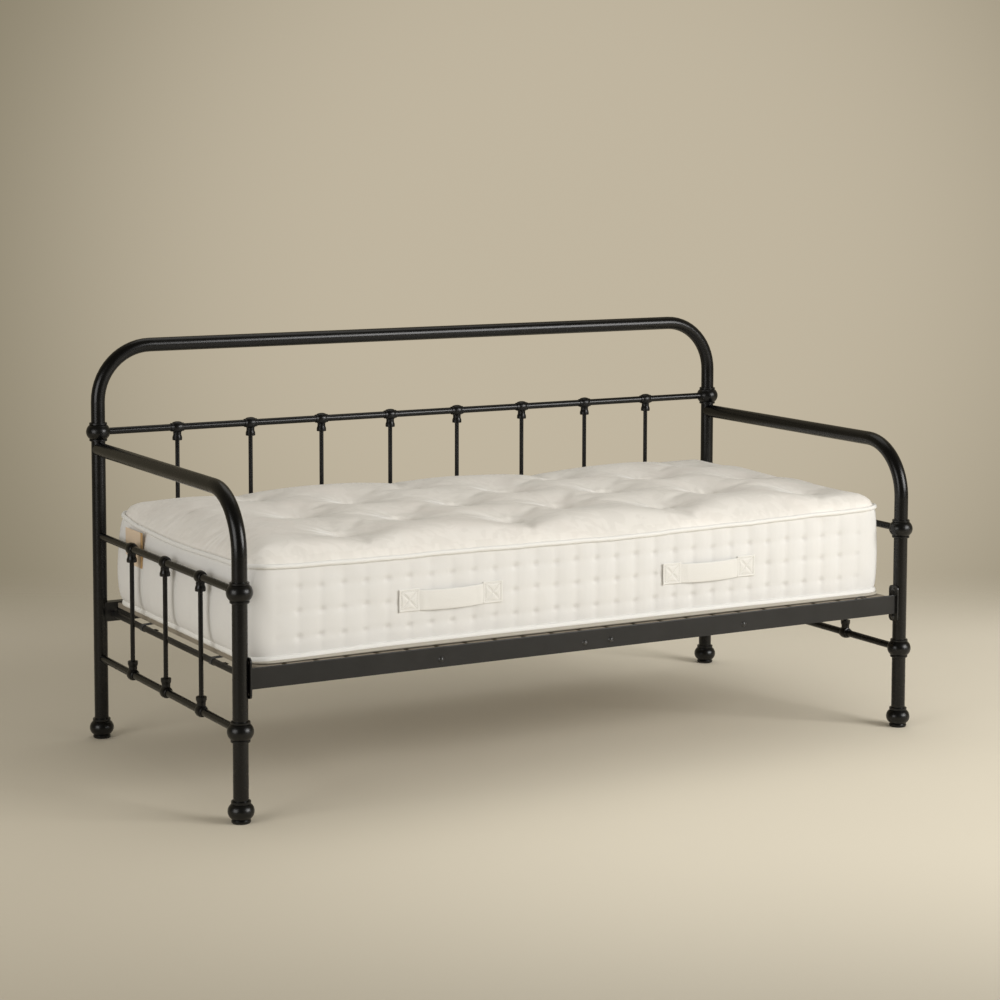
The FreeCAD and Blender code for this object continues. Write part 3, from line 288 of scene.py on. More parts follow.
def weave(name, a, b, rough, threads, depth, sheen=0.0, turn=0.0, patch_tint=None, pressed=None):
    """Plain or turned weave on the fabric's own map, with this many threads per metre each way.

    patch_tint is a second tone in broad patches, and the last argument is a painted shade tone,
    laid where a stitch pulls the cloth into a dimple.
    """
    r = Recipe(name)
    uv = r.add("ShaderNodeUVMap", uv_map="cloth").outputs["UV"]
    flat = r.stretch(1, 1, 1, turn, uv)
    pitch = threads * math.pi / 10
    over = r.wave(pitch, "X", flat)
    under = r.wave(pitch, "Y", flat)
    height = r.math("MULTIPLY", over, under)
    fuzz = r.noise(900, 3)
    colour = r.tint(r.fit(height, 0, 1, 0.0, 1.0), a, b)
    if patch_tint:
        colour = r.tint(r.fit(r.noise(7, 3, 0.6), 0.42, 0.72, 0, 0.25), colour, patch_tint)
    # Painted shade: the cloth is darkened in each stitch dimple.
    if pressed:
        colour = r.tint(r.math("MULTIPLY", r.attribute("painted_pit_shade"), 0.22), colour, pressed)
    gloss = r.fit(fuzz, 0.3, 0.7, rough - 0.06, rough + 0.08)
    normal = r.bump(fuzz, 0.0002, 0.2, r.bump(height, depth, 0.7))
    return r.finish(colour, gloss, normal, Sheen_Weight=sheen, Sheen_Roughness=0.45)


def satin_top(name):
    """Cream satin ticking: broad soft gloss, faint leaf-like figure, fine cross threads.

    One attribute darkens the pit of each tuft as painted shade. "pull" lightens streaks of cloth
    round it as painted highlight, and makes them glossier.
    """
    r = Recipe(name)
    uv = r.add("ShaderNodeUVMap", uv_map="cloth").outputs["UV"]
    figure = r.noise(16, 2, 0.45, 1.4, uv)
    figure = r.fit(figure, 0.46, 0.54, 0, 1)
    threads = r.wave(300, "X", r.stretch(1, 1, 1, 0.6, uv))
    blush = r.fit(r.noise(5.5, 3, 0.6, 0.4), 0.45, 0.75, 0, 0.35)
    colour = r.tint(figure, (0.800, 0.770, 0.715), (0.845, 0.815, 0.760))
    colour = r.tint(blush, colour, (0.835, 0.765, 0.705))
    # Painted shade darkens the pit of each tuft.
    colour = r.tint(r.math("MULTIPLY", r.attribute("painted_pit_shade"), 0.6), colour, (0.60, 0.55, 0.50))
    # Painted highlight: streaks round each tuft are lightened towards near white.
    painted_streak_highlight = r.attribute("pull")
    colour = r.tint(r.math("MINIMUM", painted_streak_highlight, 1.0), colour, (0.985, 0.970, 0.940))
    rough = r.math("SUBTRACT", r.fit(figure, 0, 1, 0.50, 0.40), r.math("MULTIPLY", painted_streak_highlight, 0.14))
    fuzz = r.noise(1100, 2)
    normal = r.bump(threads, 0.00012, 0.35, r.bump(fuzz, 0.00012, 0.25))
    return r.finish(colour, rough, normal,
                    Sheen_Weight=0.12, Sheen_Roughness=0.35, Specular_IOR_Level=0.38)


def moulded_black(name):
    r = Recipe(name)
    colour = r.tint(r.noise(40, 2), (0.012, 0.012, 0.013), (0.020, 0.020, 0.021))
    rough = r.fit(r.noise(300, 2), 0.3, 0.7, 0.42, 0.56)
    return r.finish(colour, rough, r.bump(r.noise(800, 2), 0.0001, 0.4))


def black_webbing(name):
    r = Recipe(name)
    ribs = r.wave(110, "X")
    cross = r.wave(80, "Y")
    height = r.math("MULTIPLY", ribs, cross)
    colour = r.tint(height, (0.010, 0.010, 0.011), (0.035, 0.034, 0.033))
    rough = r.fit(r.noise(400, 2), 0.3, 0.7, 0.62, 0.78)
    return r.finish(colour, rough, r.bump(height, 0.0004, 0.7), Sheen_Weight=0.2)


TUBE_PAINT = satin_black("tube_paint", (0.0018, 0.0018, 0.0017), (0.0028, 0.0027, 0.0026),
                         0.27, 0.38)
CASTING_PAINT = satin_black("casting_paint", (0.0022, 0.0022, 0.0021), (0.0032, 0.0031, 0.0030),
                            0.30, 0.38, 0.0003)
# The rails' paint is the tubes' black paint with its base made lighter. This is painted light,
# standing in for the broad light that their flat faces catch.
RAIL_PAINT_PAINTED_LIGHTER = satin_black("rail_paint_painted_lighter", (0.0090, 0.0086, 0.0082), (0.0130, 0.0124, 0.0118),
                         0.38, 0.44)
BOLT_BLACK = satin_black("bolt_black", (0.0240, 0.0235, 0.0230), (0.0380, 0.0370, 0.0360),
                         0.28, 0.55)
PLATED = plated("plated_steel_finish")
SHADED_BIRCH = birch_in_painted_shade("birch_slats_painted_shade")
WEBBING = black_webbing("webbing_weave")
CLIP_BLACK = moulded_black("clip_moulding")
TOP_SATIN = satin_top("top_satin")
# The border's last tone, (0.52, 0.50, 0.46), is painted shade for the stitch dimples.
BORDER_CLOTH = weave("border_cloth", (0.758, 0.748, 0.725), (0.822, 0.814, 0.795), 0.62, 760,
                     0.00022, 0.12, 0.0, (0.79, 0.765, 0.725), (0.52, 0.50, 0.46))
BOTTOM_CLOTH = weave("bottom_cloth", (0.44, 0.41, 0.345), (0.52, 0.485, 0.41), 0.70, 620,
                     0.0003, 0.05)
SEAM_TAPE_CLOTH = weave("seam_tape_cloth", (0.82, 0.81, 0.775), (0.89, 0.88, 0.85), 0.50, 900,
                        0.00018, 0.15, 0.78)
HANDLE_CLOTH = weave("handle_cloth", (0.77, 0.755, 0.715), (0.87, 0.855, 0.82), 0.46, 700,
                     0.0003, 0.20, 0.78)
THREAD = weave("handle_thread", (0.50, 0.485, 0.45), (0.62, 0.60, 0.56), 0.45, 1500, 0.0001)
TAG_CLOTH = weave("tag_weave", (0.74, 0.58, 0.42), (0.82, 0.67, 0.50), 0.55, 900, 0.0002, 0.1)
TAG_EDGE = weave("tag_edge_weave", (0.50, 0.30, 0.12), (0.60, 0.38, 0.17), 0.55, 900, 0.0002, 0.1)


def dress_frame():
    """Every CAD node that stays on show gets its finish."""
    for name, obj in NODES.items():
        if name in ("mattress", "left_handle", "right_handle", "mattress_tag"):
            continue
        if name == "slats":
            mat = SHADED_BIRCH
        elif name == "slat_tapes":
            mat = WEBBING
        elif name == "slat_clip":
            mat = CLIP_BLACK
        elif name in ("ledge_nuts", "post_inserts"):
            mat = PLATED
        elif name.endswith("bolts"):
            mat = BOLT_BLACK
        elif "collar" in name or "casting" in name or name.endswith("foot"):
            mat = CASTING_PAINT
        elif "side_rail" in name or "ledge" in name or "plate" in name or "end_bar" in name:
            mat = RAIL_PAINT_PAINTED_LIGHTER
        else:
            mat = TUBE_PAINT
        obj.data.materials.clear()
        obj.data.materials.append(mat)


# ---------------------------------------------------------------- mattress
def rounded(x, y):
    """Points of the square plan moved onto the plan with round corners, and the way out there."""
    ax, ay = np.abs(x), np.abs(y)
    dx, dy = ax - (HALF_X - CORNER_R), ay - (HALF_Y - CORNER_R)
    in_corner = (dx > 0) & (dy > 0)
    length = np.hypot(np.maximum(dx, 1e-9), np.maximum(dy, 1e-9))
    reach = np.maximum(dx, dy)
    rx = np.where(in_corner, HALF_X - CORNER_R + np.maximum(dx, 0) / length * reach, ax)
    ry = np.where(in_corner, HALF_Y - CORNER_R + np.maximum(dy, 0) / length * reach, ay)
    ox = np.where(in_corner, dx / length, (dx > dy) * 1.0)
    oy = np.where(in_corner, dy / length, (dx <= dy) * 1.0)
    return rx * np.sign(x), ry * np.sign(y), ox * np.sign(x), oy * np.sign(y)


def edge_distance(x, y):
    """How far inside the plan's edge a point of the top lies."""
    dx, dy = np.abs(x) - (HALF_X - CORNER_R), np.abs(y) - (HALF_Y - CORNER_R)
    outside = np.hypot(np.maximum(dx, 0), np.maximum(dy, 0))
    inside = np.minimum(np.maximum(dx, dy), 0)
    return CORNER_R - outside - inside


def seam_height(x, y):
    """The top seam: it dips along the sides and the left end, and lifts at the corners, along
    the back and towards the right end."""
    corner = np.exp(-np.hypot(HALF_X - np.abs(x), HALF_Y - np.abs(y)) / 0.07)
    sag = 0.0032 * np.exp(-((x - 0.03) / 0.16) ** 2)
    rise = 0.0090 * corner + 0.0095 * step(0.15, 0.85, x) - sag
    back = 0.0030 * step(-0.1, 0.45, y)
    end_sag = 0.0060 * np.exp(-((y - 0.02) / 0.22) ** 2)
    left_end = step(-0.86, -0.94, x) * (0.0100 * step(0.30, 0.45, y) - end_sag)
    roll = 0.0007 * np.sin(x * 17.1 + 2.1) + 0.0004 * np.sin(x * 43 + y * 9)
    return BASE_Z + SEAM_RISE + rise + back + left_end + roll


def low_seam_height(x, y):
    """The bottom seam: it rests low at the left end and lifts a little along the middle."""
    lift = step(-0.88, -0.55, x) * (1 - 0.45 * step(0.30, 0.90, x))
    return BASE_Z + 0.0078 + 0.0052 * lift


def tuft_places():
    """Staggered rows of four, set a little towards the right end."""
    out = []
    for steps in range(-2, 3):
        first = -1.5 * TUFT_PITCH_X + TUFT_SHIFT - (TUFT_PITCH_X / 2 if steps % 2 else 0)
        out += [(first + TUFT_PITCH_X * k, steps * TUFT_ROW) for k in range(4)]
    return np.array(out)


TUFTS = tuft_places()
# Tufts are shallow at the left end and half deep at the back left
TUFT_DEPTH = np.where(TUFTS[:, 0] < -0.8, 0.30,
                      np.where((TUFTS[:, 1] > 0.2) & (TUFTS[:, 0] < 0), 0.55, 1.0))


def tuft_distance(x, y):
    """Distance to the nearest tuft, the direction from it, and its number."""
    d = np.hypot(x[:, None] - TUFTS[:, 0], y[:, None] - TUFTS[:, 1])
    n = d.argmin(1)
    near = TUFTS[n]
    return d[np.arange(len(x)), n], np.arctan2(y - near[:, 1], x - near[:, 0]), n


def plan_grid(nx, ny):
    """The points of a flat grid over the square plan, row by row from the front."""
    gx = np.linspace(-HALF_X, HALF_X, nx + 1)
    gy = np.linspace(-HALF_Y, HALF_Y, ny + 1)
    return [a.ravel() for a in np.meshgrid(gx, gy)]


def start_top(x, y):
    """The top panel before it swells: a low crown that dips to each tuft."""
    rx, ry, _, _ = rounded(x, y)
    d = np.maximum(edge_distance(rx, ry), 0)
    t = np.clip(d / 0.075, 0, 1)
    shoulder = 0.036 * np.sqrt(1 - (1 - t) ** 2)
    dome = 0.016 * (1 - (np.abs(ry) / HALF_Y) ** 2.2) * (1 - (np.abs(rx) / HALF_X) ** 12)
    crown = shoulder + dome + 0.004 * step(0.0, 0.06, d)
    # The back of the left half stands a little fuller
    crown = crown + 0.009 * step(0.05, 0.38, ry) * step(0.30, -0.05, rx) * step(-0.90, -0.45, rx)
    z = seam_height(rx, ry) + crown
    r, _, n = tuft_distance(rx, ry)
    low = BASE_Z + TUFT_RISE
    bowl = 0.64 * np.exp(-(r / TUFT_NECK) ** 1.3) + 0.36 * np.exp(-(r / TUFT_BOWL) ** 2)
    dip = 1 - TUFT_DEPTH[n] * bowl
    z = np.where(d > 0.04, low + (z - low) * dip, z)
    return np.column_stack((rx, ry, z))


def ring_order(nx, ny):
    """The top panel's edge, in order round the mattress."""
    w = nx + 1
    front = list(range(0, nx))
    right = [nx + w * j for j in range(0, ny)]
    back = [w * ny + nx - i for i in range(0, nx)]
    left = [w * (ny - j) for j in range(0, ny)]
    return front + right + back + left


def grid_faces(nx, ny, first=0, flip=False):
    w = nx + 1
    faces = []
    for j in range(ny):
        for i in range(nx):
            a = first + j * w + i
            f = (a, a + 1, a + 1 + w, a + w)
            faces.append(f[::-1] if flip else f)
    return faces


def swell(start, nx, ny):
    """The top panel fills out over its pad by a cloth simulation, held at its seam and tufts."""
    ring = ring_order(nx, ny)
    n = len(start)
    verts = [tuple(v) for v in start]
    verts += [(start[i][0], start[i][1], BASE_Z) for i in ring]
    centre = len(verts)
    verts.append((0, 0, BASE_Z))
    faces = grid_faces(nx, ny)
    m = len(ring)
    for k in range(m):
        a, b = ring[k], ring[(k + 1) % m]
        faces.append((b, a, n + k, n + (k + 1) % m))
        faces.append((n + (k + 1) % m, n + k, centre))
    mesh = bpy.data.meshes.new("top_panel_sim")
    mesh.from_pydata(verts, [], faces)
    mesh.update()
    sim = bpy.data.objects.new("top_panel_sim", mesh)
    bpy.context.scene.collection.objects.link(sim)
    r, _, near = tuft_distance(start[:, 0], start[:, 1])
    sewn = np.nonzero((r < TUFT_HELD) & (TUFT_DEPTH[near] > 0.5))[0]
    held = [int(i) for i in sewn] + ring + list(range(n, len(verts)))
    group = sim.vertex_groups.new(name="held")
    group.add(sorted(set(held)), 1.0, "REPLACE")
    pick(sim)
    mod = sim.modifiers.new("Cloth", "CLOTH")
    s = mod.settings
    s.quality = 6
    s.mass = 0.25
    s.tension_stiffness = 14
    s.compression_stiffness = 14
    s.shear_stiffness = 6
    s.bending_stiffness = 3.0
    s.air_damping = 1.0
    s.use_pressure = True
    s.uniform_pressure_force = 3.0
    s.shrink_min = -0.006
    s.shrink_max = -0.006
    s.vertex_group_mass = "held"
    s.effector_weights.gravity = 0.0
    mod.collision_settings.use_collision = False
    mod.collision_settings.use_self_collision = False
    scene = bpy.context.scene
    scene.frame_start, scene.frame_end = 1, SIM_FRAMES
    mod.point_cache.frame_start, mod.point_cache.frame_end = 1, SIM_FRAMES
    for f in range(1, SIM_FRAMES + 1):
        scene.frame_set(f)
    done = sim.evaluated_get(bpy.context.evaluated_depsgraph_get())
    out = np.array([v.co[:] for v in done.data.vertices])[:n]
    scene.frame_set(1)
    bpy.data.objects.remove(sim)
    move = out - start
    far = np.linalg.norm(move, axis=1)
    move *= np.where(far > SIM_MOVE_CAP, SIM_MOVE_CAP / np.maximum(far, 1e-9), 1.0)[:, None]
    return start + move


def border_offset(t, end, left):
    """How far the border stands out from the plan at a share t of its height, more at the ends."""
    pull = 0.0030 * (np.exp(-t / 0.04) + np.exp(-(1 - t) / 0.04))
    belly = LEFT_BELLY * left * np.sin(math.pi * t ** 0.6)
    puff = (BORDER_PUFF + END_PUFF * end) * (4 * t * (1 - t)) ** 0.5
    return puff + END_PUFF * 0.5 * end + belly - pull


def join_loops(faces, kind, upper, lower, mark):
    """A band of faces between two closed loops of vertices, marked with its kind."""
    count = len(upper)
    for i in range(count):
        j = (i + 1) % count
        faces.append((upper[j], upper[i], lower[i], lower[j]))
        kind.append(mark)


def make_mattress():
    """One closed skin: top panel (kind 0), border (1), and the roll and bottom under it (2)."""
    nx, ny = int(round(2 * HALF_X / GRID)), int(round(2 * HALF_Y / GRID))
    sx, sy = plan_grid(nx, ny)
    start = start_top(sx, sy)
    top = swell(start, nx, ny)
    ring = ring_order(nx, ny)
    m = len(ring)
    n_top = len(top)
    verts = [tuple(v) for v in top]
    faces = grid_faces(nx, ny)
    kind = [0] * len(faces)
    px, py, ox, oy = rounded(sx[ring], sy[ring])
    seam, low = seam_height(px, py), low_seam_height(px, py)
    loops = [ring]
    for k in range(1, BORDER_ROWS + 1):
        t = 1 - k / BORDER_ROWS
        z = low + (seam - low) * t
        off = border_offset(t, ox ** 2, np.where(ox < 0, ox ** 2, 0))
        first = len(verts)
        verts += [tuple(v) for v in np.column_stack((px + ox * off, py + oy * off, z))]
        loops.append(list(range(first, first + m)))
    for k in range(BORDER_ROWS):
        join_loops(faces, kind, loops[k], loops[k + 1], 1)
    for out, down in BOTTOM_ROLL:
        first = len(verts)
        off = border_offset(0.0, ox ** 2, 0.0) + out * (0.45 + 0.55 * oy ** 2)
        loops.append(list(range(first, first + m)))
        z = low + (BASE_Z - low) * down
        verts += [tuple(v) for v in np.column_stack((px + ox * off, py + oy * off, z))]
        join_loops(faces, kind, loops[-2], loops[-1], 2)
    bottom = {v: loops[-1][i] for i, v in enumerate(ring)}
    bx, by, _, _ = rounded(sx, sy)
    for v in range(n_top):
        if v not in bottom:
            bottom[v] = len(verts)
            verts.append((bx[v], by[v], BASE_Z))
    for f in grid_faces(nx, ny, 0, True):
        faces.append(tuple(bottom[v] for v in f))
        kind.append(2)
    mesh = bpy.data.meshes.new("tufted_mattress")
    mesh.from_pydata(verts, [], faces)
    mesh.materials.append(TOP_SATIN)
    mesh.materials.append(BORDER_CLOTH)
    mesh.materials.append(BOTTOM_CLOTH)
    mesh.polygons.foreach_set("material_index", kind)
    mesh.update()
    obj = bpy.data.objects.new("tufted_mattress", mesh)
    bpy.context.scene.collection.objects.link(obj)
    pick(obj)
    sub = obj.modifiers.new("Subdivision", "SUBSURF")
    sub.levels = sub.render_levels = 1
    apply_all(obj)
    quilt(obj)
    obj.data.polygons.foreach_set("use_smooth", [True] * len(obj.data.polygons))
    unwrap_box(obj)
    return obj


def kinds_of_vertices(obj):
    """For each vertex, whether it lies on the top panel, the border or the bottom."""
    mesh = obj.data
    on = np.zeros((3, len(mesh.vertices)), bool)
    loop_v, size = corners_and_sizes(mesh)
    mat = np.empty(len(mesh.polygons), int)
    mesh.polygons.foreach_get("material_index", mat)
    per_loop = np.repeat(mat, size)
    for k in range(3):
        on[k, loop_v[per_loop == k]] = True
    return on


def quilt(obj):
    """Side stitching of the border, puckers along the seam and pleats round each tuft.

    It also writes two attributes for the colour: painted shade in the stitch dimples and tuft pits,
    and "pull", painted highlight in streaks round the tufts.
    """
    co = coords(obj)
    on = kinds_of_vertices(obj)
    x, y, z = co.T
    # border: rows of stitches joined by soft upright creases, on the long sides
    b = on[1] & ~on[0] & ~on[2]
    ax, ay = np.abs(x), np.abs(y)
    long_side = ay > HALF_Y - 0.012
    along = np.where(long_side, x, y)
    half = np.where(long_side, HALF_X, HALF_Y)
    strength = np.where(long_side, 1.0, 0.12) * step(0.035, 0.13, half - np.abs(along))
    corner = (ax > HALF_X - CORNER_R) & (ay > HALF_Y - CORNER_R)
    strength = np.where(corner, 0.0, strength)
    column = np.mod(along - DIMPLE_FIRST + DIMPLE_PITCH / 2, DIMPLE_PITCH) - DIMPLE_PITCH / 2
    crease = np.exp(-(column / 0.0075) ** 2) * 0.0011 + np.exp(-(column / 0.020) ** 2) * 0.0018
    crease = crease * (0.60 + 0.70 * step(-0.65, 0.25, x))
    edge = step(0.0, 0.03, z - BASE_Z) * step(0.0, 0.028, seam_height(x, y) - z)
    dent = crease * (0.35 + 0.65 * edge)
    # Painted shade: this mask darkens the cloth at each stitch dimple.
    painted_pit_shade = np.zeros(len(x))
    number = np.round((along - column) / DIMPLE_PITCH)
    for i, row in enumerate(DIMPLE_ROWS):
        dz = z - row - 0.0012 * np.sin(number * 2.3 + i * 1.7)
        stray = 0.0014 * np.sin(number * 3.1 + i * 4.4)
        depth = 0.0038 * (1 + 0.18 * np.sin(number * 5.3 + i * 2.2))
        spot = np.exp(-((column - stray) ** 2 / 0.0080 ** 2 + dz ** 2 / 0.0052 ** 2))
        painted_pit_shade = np.maximum(painted_pit_shade, spot * strength)
        dent = dent + depth * spot
        dent = dent + 0.0012 * np.exp(-(dz / 0.011) ** 2)
    soft = 0.0010 * np.sin(along * 21 + z * 13) + 0.0007 * np.sin(along * 47 + z * 31 + 1.2)
    push = np.where(b, -(dent * strength) + np.minimum(soft, 0) * edge, 0)
    outx = np.where(long_side, 0, np.sign(x))
    outy = np.where(long_side, np.sign(y), 0)
    x = x + outx * push
    y = y + outy * push
    # top: puckers above the seam, pleats round the tufts
    t = on[0] & ~on[1]
    d = np.maximum(edge_distance(x, y), 0)
    run = np.where(np.abs(x) / HALF_X > np.abs(y) / HALF_Y * 1.02, y, x)
    ripple = np.sin(run * 330 + 1.7 * np.sin(run * 61)) * (0.55 + 0.45 * np.sin(run * 23 + 1))
    pucker = 0.0009 * ripple * np.exp(-((d - 0.018) / 0.016) ** 2)
    r, a, n = tuft_distance(x, y)
    fan = 0.45 + 0.55 * np.cos(a - math.pi + 0.35 * np.sin(n * 2.1))
    pleat = 0.0034 * fan * np.cos(a * 9 + n * 1.9 + 0.6 * np.sin(a * 3 + n))
    pleat = pleat * np.exp(-((r - 0.040) / 0.024) ** 2)
    rim = 0.0022 * (0.6 + 0.4 * np.sin(a + n * 1.3)) * np.exp(-((r - 0.040) / 0.011) ** 2)
    streak = 0.0026 * fan ** 2 * (0.5 + 0.5 * np.cos(a * 14 + n * 2.7)) ** 2
    streak = streak * np.exp(-((r - 0.058) / 0.036) ** 2)
    pleat = (0.7 * pleat + rim + streak) * TUFT_DEPTH[n]
    z = np.where(t, z + pucker + pleat, z)
    set_coords(obj, np.column_stack((x, y, z)))
    # Painted highlight: this mask lightens streaks of the top round each tuft.
    rays = np.clip(np.cos(a - math.pi), 0, 1) ** 1.5 * (0.5 + 0.5 * np.cos(a * 16 + n * 2.7)) ** 2
    rays = 1.5 * rays * np.exp(-((r - 0.055) / 0.045) ** 2)
    pull = rays * (0.75 + 0.25 * np.sin(n * 5.1)) * TUFT_DEPTH[n] * t
    gloss = obj.data.attributes.new("pull", "FLOAT", "POINT")
    gloss.data.foreach_set("value", pull.astype(np.float32))
    # Painted shade: this mask darkens the pit of each tuft.
    pit = np.exp(-(r / 0.012) ** 2) * t
    shade = obj.data.attributes.new("painted_pit_shade", "FLOAT", "POINT")
    shade.data.foreach_set("value", np.where(b, painted_pit_shade, pit).astype(np.float32))


def unwrap_box(obj):
    """A map in metres: the top and bottom from above, the sides along and up."""
    mesh = obj.data
    layer = mesh.uv_layers.new(name="cloth")
    loop_v, size = corners_and_sizes(mesh)
    normal = np.empty(len(mesh.polygons) * 3)
    mesh.polygons.foreach_get("normal", normal)
    facing = np.abs(np.repeat(normal.reshape(-1, 3), size, axis=0)).argmax(1)
    p = coords(obj)[loop_v]
    u = np.where(facing == 0, p[:, 1], p[:, 0])
    v = np.where(facing == 2, p[:, 1], p[:, 2])
    layer.data.foreach_set("uv", np.column_stack((u, v)).astype(np.float32).ravel())


def plan_outline():
    """The mattress's plan as a closed run of points with the direction out of it at each."""
    pts, out = [], []
    cx, cy = HALF_X - CORNER_R, HALF_Y - CORNER_R
    quarter = math.pi / 2
    for sx, sy, a0 in ((1, -1, -quarter), (1, 1, 0), (-1, 1, quarter), (-1, -1, math.pi)):
        for i in range(CORNER_STEPS):
            a = a0 + quarter * i / CORNER_STEPS
            pts.append((sx * cx + CORNER_R * math.cos(a), sy * cy + CORNER_R * math.sin(a)))
            out.append((math.cos(a), math.sin(a)))
        a = a0 + quarter
        along = (-math.sin(a), math.cos(a))
        run = 2 * (cy if abs(along[0]) < 0.5 else cx)
        count = int(run / OUTLINE_STEP)
        for i in range(count):
            f = run * i / count
            pts.append((sx * cx + CORNER_R * math.cos(a) + along[0] * f,
                        sy * cy + CORNER_R * math.sin(a) + along[1] * f))
            out.append((math.cos(a), math.sin(a)))
    return np.array(pts), np.array(out)


def make_seam_tape(name, lift, tall):
    """The rounded tape that binds a seam, swept round the plan's edge."""
    pts, out = plan_outline()
    n = len(pts)
    deselect()
    bpy.ops.mesh.primitive_circle_add(vertices=n, radius=1.0)
    loop = bpy.context.object
    loop.name = name
    back = pts + out * (END_PUFF * 0.5 * out[:, :1] ** 2 + 0.0008)
    middle = np.column_stack((back, lift(pts[:, 0], pts[:, 1])))
    set_coords(loop, middle)
    pick(loop)
    bpy.ops.object.convert(target="CURVE")
    loop.data.bevel_depth = tall
    loop.data.bevel_resolution = 3
    pick(loop)
    bpy.ops.object.convert(target="MESH")
    tape = settle(bpy.context.object)
    tape.name = name
    # The round tube is squeezed flatter against the mattress
    co = coords(tape)
    near = ((co[:, None, :2] - middle[None, :, :2]) ** 2).sum(2).argmin(1)
    offset = co - middle[near]
    side = (offset[:, :2] * out[near]).sum(1)
    squeeze = side * (1 - TAPE_THICK / tall)
    co[:, 0] -= squeeze * out[near, 0]
    co[:, 1] -= squeeze * out[near, 1]
    pinch = 0.0004 * np.sin(near * 1.9) * np.sin(near * 0.31 + 1)
    co[:, 2] += pinch
    set_coords(tape, co)
    pick(tape)
    bpy.ops.object.shade_smooth()
    unwrap_box(tape)
    tape.data.materials.clear()
    tape.data.materials.append(SEAM_TAPE_CLOTH)
    return tape


# ---------------------------------------------------------------- handles and tag
def flat_strip(name, centre, wide, tall, nx, nz):
    """A grid standing in the front face's plane, facing the front."""
    deselect()
    bpy.ops.mesh.primitive_grid_add(x_subdivisions=nx, y_subdivisions=nz, size=1,
                                    location=centre, rotation=(math.pi / 2, 0, 0))
    obj = bpy.context.object
    obj.name = name
    obj.scale = (wide, tall, 1)
    return settle(obj)


def thicken(obj, thick, rim):
    """Cloth thickness towards the mattress and softened rims."""
    pick(obj)
    mod = obj.modifiers.new("Solidify", "SOLIDIFY")
    mod.thickness = thick
    mod.offset = -1
    bevel = obj.modifiers.new("Bevel", "BEVEL")
    bevel.width = rim
    bevel.segments = 2
    bevel.limit_method = "ANGLE"
    bevel.angle_limit = math.radians(50)
    apply_all(obj)
    bpy.ops.object.shade_smooth_by_angle(angle=math.radians(45))


def handle_strap(side, x0, z0, wide):
    """The grip: a woven tape, flat at both patches and bowed a little between them."""
    face = -HALF_Y - BORDER_PUFF - 0.0002
    strap = flat_strip(side + "_strap", (x0, face, z0 - 0.002), wide - 0.012, TAPE_WIDE, 96, 12)
    co = coords(strap)
    u = (co[:, 0] - x0) / (wide / 2 - PATCH)
    free = np.clip(1 - u ** 2, 0, 1)
    bow = 0.0082 * free ** 0.8
    cup = 0.0011 * ((co[:, 2] - z0) / (TAPE_WIDE / 2)) ** 2 * free
    wrinkle = 0.0005 * np.sin(co[:, 0] * 150 + (co[:, 2] - z0) * 40)
    wrinkle = wrinkle * np.exp(-((np.abs(u) - 0.85) / 0.12) ** 2)
    co[:, 1] -= bow + 0.0020 - cup + wrinkle
    co[:, 2] -= 0.0022 * free
    set_coords(strap, co)
    thicken(strap, 0.0016, 0.0005)
    unwrap_box(strap)
    strap.data.materials.append(HANDLE_CLOTH)
    return strap


def handle_patch(name, x0, z0):
    """A doubled square of tape, pressed in along its box and cross of stitches. The outer edge
    of each left patch stands off a little."""
    face = -HALF_Y - BORDER_PUFF - PATCH_PROUD
    patch = flat_strip(name, (x0, face, z0), PATCH, PATCH, 38, 38)
    co = coords(patch)
    u, v = co[:, 0] - x0, co[:, 2] - z0
    reach = np.maximum(np.abs(u), np.abs(v))
    box = np.abs(reach - PATCH_INSET)
    inside = reach < PATCH_INSET
    cross = np.where(inside, np.minimum(np.abs(u - v), np.abs(u + v)) / math.sqrt(2), 1)
    groove = 0.0019 * np.exp(-(box / 0.0022) ** 2) + 0.0020 * np.exp(-(cross / 0.0026) ** 2)
    rim = 0.0012 * step(0.0030, 0.0, PATCH / 2 - reach)
    puff = 0.0006 * np.cos(u * 90) * np.cos(v * 90)
    lifted = 0.0016 * step(0.012 - PATCH / 2, -PATCH / 2, u) if "left_patch" in name else 0.0
    co[:, 1] += groove + rim - puff - lifted
    set_coords(patch, co)
    thicken(patch, 0.0030, 0.0006)
    unwrap_box(patch)
    patch.data.materials.append(HANDLE_CLOTH)
    return patch


def one_stitch():
    """One stitch of thick thread, its ends dipping into the tape."""
    deselect()
    bpy.ops.mesh.primitive_cylinder_add(vertices=6, radius=STITCH_THICK, depth=STITCH_LONG,
                                        end_fill_type="TRIFAN", rotation=(0, math.pi / 2, 0))
    stitch = settle(bpy.context.object)
    pick(stitch)
    bpy.ops.object.mode_set(mode="EDIT")
    bpy.ops.mesh.select_all(action="SELECT")
    bpy.ops.mesh.bisect(plane_co=(0, 0, 0), plane_no=(1, 0, 0))
    bpy.ops.object.mode_set(mode="OBJECT")
    co = coords(stitch)
    co[:, 1] += 0.0006 * (co[:, 0] / (STITCH_LONG / 2)) ** 2
    set_coords(stitch, co)
    return stitch


